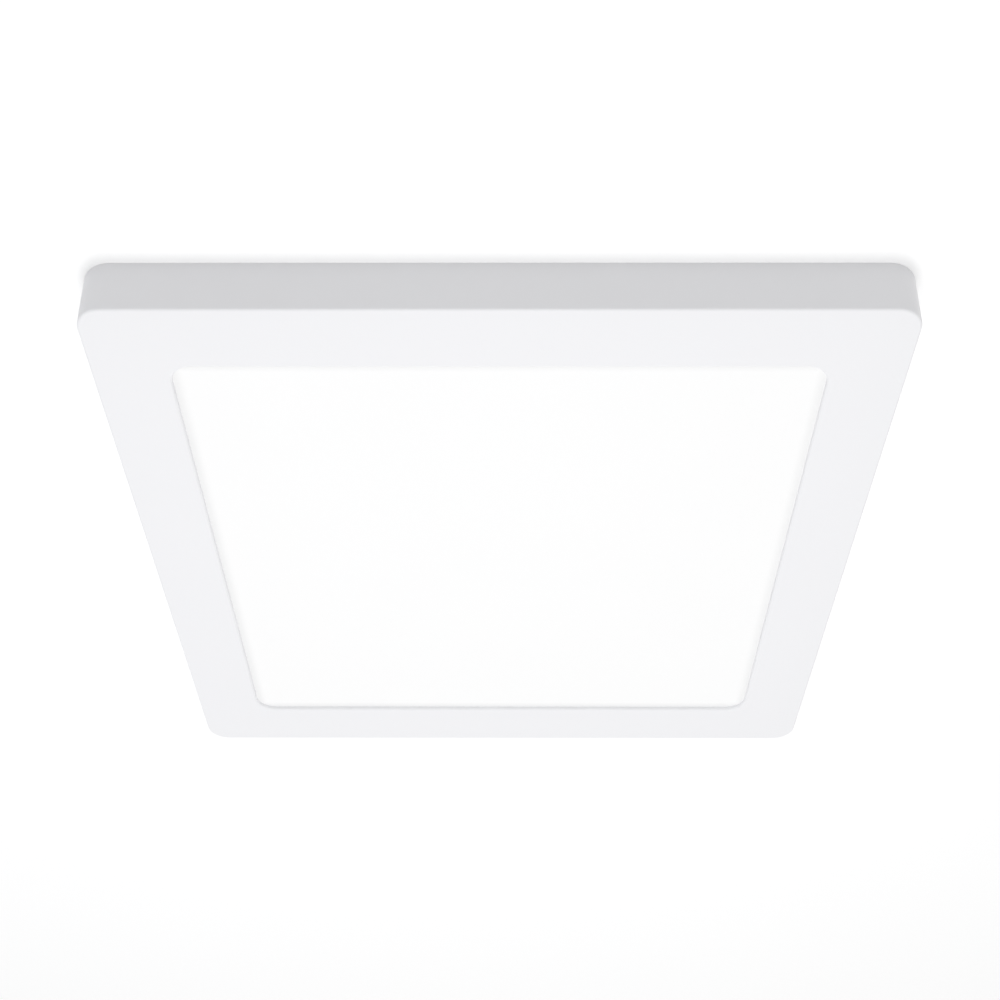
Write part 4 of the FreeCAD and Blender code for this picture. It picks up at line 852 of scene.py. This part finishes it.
class LIGHT_OT_housing(PieceOperator, bpy.types.Operator):
    """Sweep the moulded shell round its window, with its bosses, webs, gussets and guide ribs"""

    bl_idname = "light.housing"
    bl_label = "Moulded housing"

    def section(self, chosen):
        """The shell's closed section, from the rim down the outside and back up the inside."""
        half = chosen.width / 2
        slope = chosen.flare / chosen.height
        lean = math.atan(slope)
        points = [(half, chosen.rim_corner, 0.0)]
        edge = half - chosen.flare - chosen.face_edge
        for step in range(EDGE_STEPS + 1):
            angle = lean + (math.pi / 2 - lean) * step / EDGE_STEPS
            out = edge + chosen.face_edge * math.cos(angle)
            points.append((out, chosen.rim_corner - half + out,
                           -chosen.height + chosen.face_edge * (1 - math.sin(angle))))
        window = half - chosen.border
        for step in range(EDGE_STEPS + 1):
            angle = math.pi / 2 * step / EDGE_STEPS
            out = window + chosen.lip * (1 - math.sin(angle))
            points.append((out, chosen.window_corner + out - window,
                           -chosen.height + chosen.lip * (1 - math.cos(angle))))
        inset = chosen.wall / math.cos(lean)
        foot = half - inset + slope * FACE_INNER
        points.append((window, chosen.window_corner, FACE_INNER))
        points.append((foot, chosen.rim_corner - chosen.wall - half + inset + foot, FACE_INNER))
        points.append((half - inset, chosen.rim_corner - chosen.wall, 0.0))
        return points

    def execute(self, context):
        chosen = settings("housing")
        # ABS from a spark-eroded tool: an even satin white whose grain, drawn as 0.6 mm, only shows
        # close up
        white = moulded("ABS, moulded, spark-eroded grain", chosen.shell, grain=0.6 * MM,
                        depth=0.004 * MM, rough=0.46, ior=1.53, flow=80 * MM, uneven=0.012)
        shell = grown(swept_square_tree(), point_mesh(self.section(chosen)),
                      Corner_Steps=chosen.corner_steps, Material=white)
        outward = mesh_of("housing_shell", lambda work: work.from_mesh(shell))
        smooth(outward, angle=35)
        present("housing_shell", outward, white, "housing_frame")
        self.add_inside(chosen, white)
        return {"FINISHED"}

    def add_inside(self, chosen, white):
        """The rows of small forms between the face and the walls."""
        root = chosen.width / 2 - chosen.flare - chosen.wall * ROOT_SHARE
        half = chosen.rib / 2

        def gusset(work):
            corners = [(root - chosen.gusset_reach, FACE_INNER), (root, FACE_INNER),
                       (root, FACE_INNER + chosen.gusset_height)]
            extrude(work, [Vector((x, -half, z)) for x, z in corners], Vector((0, chosen.rib, 0)))

        def boss(work):
            tower, hole = chosen.boss / 2, chosen.pilot / 2
            rings = []
            for reach, corner, height in (
                (tower, BOSS_ROUNDING, FACE_INNER), (tower, BOSS_ROUNDING, COVER_UNDER),
                (hole, hole, COVER_UNDER), (hole, hole, FACE_INNER),
            ):
                rings.append([
                    work.verts.new(Matrix.Rotation(turn * math.pi / 2, 3, "Z") @ Vector((
                        reach - corner + corner * math.cos(step * math.pi / 2 / BOSS_STEPS),
                        reach - corner + corner * math.sin(step * math.pi / 2 / BOSS_STEPS), 0))
                        + Vector((chosen.boss_reach, 0, height)))
                    for turn in range(4) for step in range(BOSS_STEPS + 1)
                ])
            for ring, after in zip(rings, rings[1:] + rings[:1]):
                for step in range(len(ring)):
                    far = (step + 1) % len(ring)
                    work.faces.new((ring[step], ring[far], after[far], after[step]))
            bmesh.ops.remove_doubles(work, verts=work.verts, dist=MERGE)
            block(work, (chosen.boss_reach + tower, -half, FACE_INNER),
                  (root, half, COVER_UNDER - WEB_STEP))

        def guide_rib(work):
            block(work, (chosen.guide_rib_reach, -chosen.guide_rib / 2, FACE_INNER),
                  (chosen.guide_rib_reach + chosen.rib, chosen.guide_rib / 2,
                   FACE_INNER + chosen.guide_rib_height))

        rows = four_sides_tree()
        for name, form, spacing, number in (
            ("gussets", gusset, chosen.gusset_spacing, chosen.gusset_count),
            ("bosses", boss, chosen.boss_spacing, 2),
            ("guide_ribs", guide_rib, chosen.guide_rib_spacing, 2),
        ):
            mesh = grown(rows, mesh_of(name, form), Spacing=spacing, Count=number, Material=white)
            present(f"housing_{name}", mesh, white, "housing_frame", whole=False)


class LIGHT_OT_optics(PieceOperator, bpy.types.Operator):
    """Finish the lit diffuser, the light guide, reflector and foam behind it and the strips"""

    bl_idname = "light.optics"
    bl_label = "Lit window and strips"

    def execute(self, context):
        chosen = settings("housing")
        dress(["diffuser"], lit_opal(chosen.opal, chosen.glow, chosen.width / 2 - chosen.border,
                                     chosen.dark_edge))
        dress(["light_guide_plate"], dotted_guide(linear("F2F7F8")))
        # white PET film: a soft sheen with a faint web texture
        dress(["reflector_sheet"],
              moulded("PET film, filled white", linear("F4F4F2"), grain=0.5 * MM, depth=0.01 * MM,
                      rough=0.25, ior=1.57))
        refine(["foam_backing_pad"], skived_foam(settings("mouldings").foam),
               settings("mouldings").edge)
        # aluminium: long bright die lines
        rail = rolled("aluminium, extruded", settings("fasteners").aluminium, rough=0.35,
                      line=0.2 * MM, stretch=(0.05, 0.05, 1.0))
        dress([f"led_rail_{side}" for side in SIDES], rail)
        # printed solder mask: glossy white with a slight orange peel
        mask = moulded("solder mask, printed", linear("ECECE8"), grain=0.3 * MM, depth=0.01 * MM,
                       rough=0.3, ior=1.5)
        dress([f"led_board_{side}" for side in SIDES], mask)
        low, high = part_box("led_chips_front")
        chips = lit_phosphor(linear("E9CB5A"), linear("F1F0EC"), (low.z + high.z) / 2)
        dress([f"led_chips_{side}" for side in SIDES], chips)
        return {"FINISHED"}


class LIGHT_OT_cover(PieceOperator, bpy.types.Operator):
    """Finish the back cover and drive its screws"""

    bl_idname = "light.cover"
    bl_label = "Back cover and screws"

    def execute(self, context):
        sheet, chosen = settings("sheet"), settings("fasteners")
        refine(["back_cover"],
               galvanised("steel cover, hot-dip galvanised", sheet.sheet, sheet.spangle),
               sheet.edge)
        # zinc plating: bright, slightly blue, with handling marks in place of rolling lines
        zinc = rolled("steel screws, zinc plated", chosen.zinc, rough=0.28, line=0.3 * MM,
                      stretch=(1.0, 1.0, 1.0))
        low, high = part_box("cover_screws")
        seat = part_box("driver_case")[0].z  # the driver stands on the same face of the cover
        fasten("cover_screws", screw_tree(), seat, zinc, Head_Height=high.z - seat,
               Shank_Diameter=chosen.shank, Shank_Length=seat - low.z,
               Recess_Width=chosen.recess_width, Recess_Span=chosen.recess_span,
               Recess_Depth=chosen.recess_depth)
        return {"FINISHED"}


class LIGHT_OT_driver(PieceOperator, bpy.types.Operator):
    """Finish the driver's case and lid, its board and the parts on it"""

    bl_idname = "light.driver"
    bl_label = "Driver"

    def execute(self, context):
        chosen = settings("mouldings")
        # polycarbonate: an even fine grain, duller than the shell
        case = moulded("polycarbonate, moulded, fine grain", chosen.driver, grain=0.6 * MM,
                       depth=0.015 * MM, rough=0.52, ior=1.58)
        refine(["driver_case"], case, chosen.edge / 2)
        refine(["driver_cover"], case, chosen.edge, segments=3)
        # glass-filled board: green, glossy, with the weave just showing
        dress(["driver_board"],
              moulded("FR4 board, masked", linear("1F6B3C"), grain=0.5 * MM, depth=0.02 * MM,
                      rough=0.3, ior=1.5, flow=4 * MM, uneven=0.25))
        # black shrink sleeve and epoxy: smooth and fairly glossy
        dress(["driver_capacitors", "driver_rectifier"],
              moulded("PET sleeve and epoxy, black", linear("1E1E22"), grain=0.8 * MM,
                      depth=0.01 * MM, rough=0.32, ior=1.57))
        # sintered ferrite: dull dark grey with a gritty skin
        dress(["driver_transformer"],
              moulded("ferrite, sintered", linear("3A3A3C"), grain=0.3 * MM, depth=0.03 * MM,
                      rough=0.62, ior=1.6, flow=3 * MM, uneven=0.2))
        dress(["driver_choke"], wound_copper(linear("B87333")))
        return {"FINISHED"}


class LIGHT_OT_terminals(PieceOperator, bpy.types.Operator):
    """Finish the terminal block and its three release buttons"""

    bl_idname = "light.terminals"
    bl_label = "Terminal block"

    def execute(self, context):
        chosen = settings("mouldings")
        # polyamide: grey-white and waxy, with flow marks round the entries
        waxy = moulded("polyamide, moulded", chosen.terminal, grain=0.5 * MM, depth=0.01 * MM,
                       rough=0.45, ior=1.53, flow=6 * MM, uneven=0.08)
        refine(["terminal_block"], waxy, chosen.edge / 2, corners=chosen.edge * 1.5)
        # PBT: saturated orange, smoother than the block
        orange = moulded("PBT, moulded", chosen.button, grain=0.4 * MM, depth=0.006 * MM,
                         rough=0.38, ior=1.55)
        refine([f"{pole}_button" for pole in POLES], orange, chosen.edge / 2)
        return {"FINISHED"}


# The middle line of each inner wire bends inside these points, in millimetres as in part.py
ENTRY = -8.2  # level of the terminal block's rear entries


def driver_route(entry_x, port_y):
    return [(entry_x, 66.2, ENTRY), (entry_x, 73.0, ENTRY), (entry_x, port_y, ENTRY),
            (-51.0, port_y, ENTRY), (-47.8, port_y, ENTRY)]


ROUTES = {
    "live_wire": driver_route(-82.0, 78.7),
    "neutral_wire": driver_route(-92.0, 83.3),
    "earth_wire": [(-102.0, 66.2, ENTRY), (-102.0, 74.0, ENTRY), (-102.0, 83.0, -9.5),
                   (-102.0, 92.0, -10.6), (-110.0, 92.0, -10.6), (-116.3, 92.0, -10.6)],
    "output_lead": [(67.8, 81.0, -5.6), (71.0, 81.0, -5.6), (108.5, 81.0, -5.6),
                    (119.5, 93.75, -5.6), (130.5, 106.5, -5.6), (130.5, 130.5, -5.6),
                    (130.5, 130.5, -11.0), (130.5, 130.5, -15.4)],
}


class LIGHT_OT_wires(PieceOperator, bpy.types.Operator):
    """Lay the inner wires, with the earth blade and socket and the lead's grommet and connector"""

    bl_idname = "light.wires"
    bl_label = "Inner wires"

    def execute(self, context):
        chosen, mouldings, sheet = settings("wires"), settings("mouldings"), settings("sheet")
        for name, diameter, material in (
            ("live_wire", chosen.core, sleeve("brown", chosen.brown)),
            ("neutral_wire", chosen.core, sleeve("blue", chosen.blue)),
            ("earth_wire", chosen.core, sleeve("green and yellow", chosen.green, chosen.yellow)),
            ("output_lead", chosen.lead, sleeve("white", chosen.white)),
        ):
            mesh = wire_mesh(route_line(ROUTES[name]), diameter, chosen.facets)
            present(f"{name}_finished", mesh, material, name)
        # brass: warm and bright, with the press's fine lines
        brass = rolled("brass, stamped", sheet.brass, rough=0.26, line=0.2 * MM,
                       stretch=(1.0, 0.1, 1.0))
        refine(["cover_earth_tab", "earth_socket", "plate_earth_tab"], brass, sheet.edge / 3)
        # EPDM: dull black with a fine pebble and a pale bloom
        rubber = moulded("EPDM rubber, moulded", mouldings.rubber, grain=0.5 * MM, depth=0.03 * MM,
                         rough=0.68, ior=1.52, flow=5 * MM, uneven=-0.5)
        refine(["lead_grommet"], rubber, mouldings.edge / 2)
        refine(["cable_grommet"], rubber, mouldings.edge)
        # natural nylon: cream, waxy and a little uneven
        nylon = moulded("nylon, natural, moulded", mouldings.connector, grain=0.4 * MM,
                        depth=0.006 * MM, rough=0.4, ior=1.53, flow=4 * MM)
        refine(["lead_connector"], nylon, mouldings.edge / 4)
        return {"FINISHED"}


class LIGHT_OT_bracket(PieceOperator, bpy.types.Operator):
    """Finish the mounting plate with its springs and rivets, and the catches that they hold"""

    bl_idname = "light.bracket"
    bl_label = "Mounting plate and clips"

    def execute(self, context):
        sheet, chosen = settings("sheet"), settings("fasteners")
        # strip plated before stamping: smoother and brighter than the cover, fine lines along it
        strip = rolled("steel strip, rolled, zinc plated", sheet.plate, rough=0.36, line=0.3 * MM,
                       stretch=(0.04, 1.0, 1.0), uneven=0.08)
        refine(["mounting_plate"], strip, sheet.edge, segments=3)
        # tempered strip: darker and bluer than the plate, with lines along the strip
        leaf = rolled("spring steel, rolled, tempered", sheet.spring, rough=0.24, line=0.2 * MM,
                      stretch=(0.08, 1.0, 0.3))
        refine([f"clip_spring_{end}" for end in ENDS], leaf, sheet.edge / 3)
        # zinc plating on a stamped catch: bright, with handling marks
        zinc = rolled("steel catches, zinc plated", chosen.zinc, rough=0.3, line=0.3 * MM,
                      stretch=(1.0, 0.2, 1.0))
        refine([f"clip_catch_{end}" for end in ENDS], zinc, sheet.edge / 2)
        # aluminium rivets: pale, with the header's soft swirl
        pale = rolled("aluminium, cold headed", chosen.aluminium, rough=0.34, line=0.3 * MM,
                      stretch=(1.0, 1.0, 1.0))
        low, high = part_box("spring_rivets")
        seat = high.z - chosen.rivet_head
        fasten("spring_rivets", rivet_tree(), seat, pale, Head_Height=chosen.rivet_head,
               Shank_Diameter=chosen.rivet_shank, Grip=seat - low.z - chosen.upset_height,
               Upset_Diameter=chosen.upset, Upset_Height=chosen.upset_height)
        return {"FINISHED"}


# Stage

CAMERA_PLACE = Vector((2.19, -474.6, -374.7)) * MM
# degrees, fitted with the place to the photograph's edges
CAMERA_PITCH, CAMERA_YAW, CAMERA_ROLL = 39.32, -0.281, 0.193
CEILING_GAP = 0.3 * MM  # keeps the ceiling's plane clear of the rim and the plate
CEILING_OPEN = 148.5 * MM  # half width of the opening over the light
CEILING_CUT = 0.95  # share of a side's half at which the ceiling's corners are cut
CEILING_HALF, FLOOR_HALF = 1.6, 9.0
COOL = (0.75, 0.82, 1.0)
# name, place, size, power, colour, and whether it shows in gloss
LAMPS = (
    ("lamp_below", (0.0, 0.37, -2.2), 0.44, 12.0, WHITE, False),
    ("lamp_near", (0.0, -0.15, -0.7), 0.2, 0.7, WHITE, True),
    ("lamp_cool", (-1.2, -0.3, -0.9), 0.6, 0.7, COOL, True),
    ("lamp_above", (0.4, -0.15, 1.4), 0.6, 7.2, WHITE, False),
    ("lamp_glint", (-0.7, 0.5, 1.2), 0.9, 0.6, WHITE, True),
)


def stage_plane(name, corners, faces, height, material):
    """A large plane of the stage, which throws no shadow."""
    mesh = bpy.data.meshes.new(name)
    mesh.from_pydata([(x, y, height) for x, y in corners], [], faces)
    mesh.materials.append(material)
    plane = placed(bpy.data.objects.new(name, mesh))
    plane.visible_shadow = False
    return plane


def softbox(name, place, size, power, colour, glints):
    """A square lamp that faces the object and isn't seen, in gloss only where it glints."""
    lamp = bpy.data.lights.new(name, "AREA")
    lamp.size = size
    lamp.energy = power
    lamp.color = colour
    thing = placed(bpy.data.objects.new(name, lamp))
    thing.location = place
    thing.rotation_euler = (-Vector(place)).to_track_quat("-Z", "Y").to_euler()
    thing.visible_camera = False
    thing.visible_glossy = glints


class LIGHT_OT_stage(PieceOperator, bpy.types.Operator):
    """Set the ceiling, floor, surroundings, soft lamps and camera"""

    bl_idname = "light.stage"
    bl_label = "Stage"

    def execute(self, context):
        chosen = settings("stage")
        # the ceiling is a square ring with its corners cut off, and what covers the light's back is
        # only there for the camera, so that the back stays lit
        outline = [(1.0, -CEILING_CUT), (1.0, CEILING_CUT)]
        for _ in range(3):
            outline += [(-y, x) for x, y in outline[-2:]]
        total = len(outline)
        corners = [(x * half, y * half)
                   for half in (CEILING_OPEN, CEILING_HALF) for x, y in outline]
        ring = [(step, (step + 1) % total, (step + 1) % total + total, step + total)
                for step in range(total)]
        white = emulsion("emulsion on the ceiling", chosen.emulsion, chosen.ceiling_glow,
                         one_sided=True)
        stage_plane("stage_ceiling", corners, ring, CEILING_GAP, white)
        middle = stage_plane("stage_ceiling_middle", corners[:total], [range(total - 1, -1, -1)],
                             CEILING_GAP, white)
        middle.visible_diffuse = False
        middle.visible_glossy = False
        square = [(x * FLOOR_HALF, y * FLOOR_HALF) for x, y in ((-1, -1), (1, -1), (1, 1), (-1, 1))]
        floor = stage_plane("stage_floor", square, [range(4)], -chosen.room,
                            emulsion("emulsion on the floor", chosen.emulsion, chosen.floor_glow))
        floor.visible_diffuse = False
        self.surround(chosen)
        for lamp in LAMPS:
            softbox(*lamp)
        self.camera(chosen)
        context.scene.view_settings.view_transform = "Standard"
        return {"FINISHED"}

    def surround(self, chosen):
        """Even light from all round, and white where the surroundings are seen."""
        world = bpy.data.worlds.new("pale room")
        bpy.context.scene.world = world
        world.use_nodes = True
        tree = world.node_tree
        tree.nodes.clear()
        strength = node(tree, "ShaderNodeMapRange", {
            "Value": seen_directly(tree), "To Min": chosen.surround, "To Max": chosen.backdrop})
        light = node(tree, "ShaderNodeBackground", {"Color": shade(WHITE), "Strength": strength})
        node(tree, "ShaderNodeOutputWorld", {"Surface": light})

    def camera(self, chosen):
        """The place and aim that fit the photograph's perspective."""
        pitch, yaw, roll = (
            math.radians(angle) for angle in (CAMERA_PITCH, CAMERA_YAW, CAMERA_ROLL))
        aim = Vector((
            math.sin(yaw) * math.cos(pitch), math.cos(yaw) * math.cos(pitch), math.sin(pitch)))
        level_right = aim.cross(Vector((0, 0, 1))).normalized()
        turn = Matrix((level_right, level_right.cross(aim), -aim)).transposed()
        data = bpy.data.cameras.new("camera")
        data.lens = chosen.lens
        data.clip_start = 0.01
        data.clip_end = 40.0
        camera = placed(bpy.data.objects.new("camera", data))
        camera.matrix_world = Matrix.Translation(CAMERA_PLACE) @ (
            turn @ Matrix.Rotation(roll, 3, "Z")).to_4x4()
        bpy.context.scene.camera = camera


OPERATORS = (
    LIGHT_OT_housing, LIGHT_OT_optics, LIGHT_OT_cover, LIGHT_OT_driver, LIGHT_OT_terminals,
    LIGHT_OT_wires, LIGHT_OT_bracket, LIGHT_OT_stage,
)


class LIGHT_PT_panel(bpy.types.Panel):
    """The sizes, colours and buttons of the ceiling light"""

    bl_idname = "LIGHT_PT_panel"
    bl_label = "Ceiling light"
    bl_space_type = "VIEW_3D"
    bl_region_type = "UI"
    bl_category = "Ceiling light"

    def draw(self, context):
        for operator in OPERATORS:
            self.layout.operator(operator.bl_idname)
        for group in SETTINGS:
            box = self.layout.box()
            box.label(text=group.capitalize())
            for name in SETTINGS[group].__annotations__:
                box.prop(settings(group), name)


def register():
    for name, group in SETTINGS.items():
        bpy.utils.register_class(group)
        setattr(bpy.types.Scene, f"light_{name}", PointerProperty(type=group))
    for made in (*OPERATORS, LIGHT_PT_panel):
        bpy.utils.register_class(made)


def unregister():
    for made in (LIGHT_PT_panel, *OPERATORS):
        bpy.utils.unregister_class(made)
    for name, group in SETTINGS.items():
        delattr(bpy.types.Scene, f"light_{name}")
        bpy.utils.unregister_class(group)


def main():
    register()
    for operator in OPERATORS:
        group, name = operator.bl_idname.split(".")
        getattr(getattr(bpy.ops, group), name)()


if __name__ == "__main__":
    main()
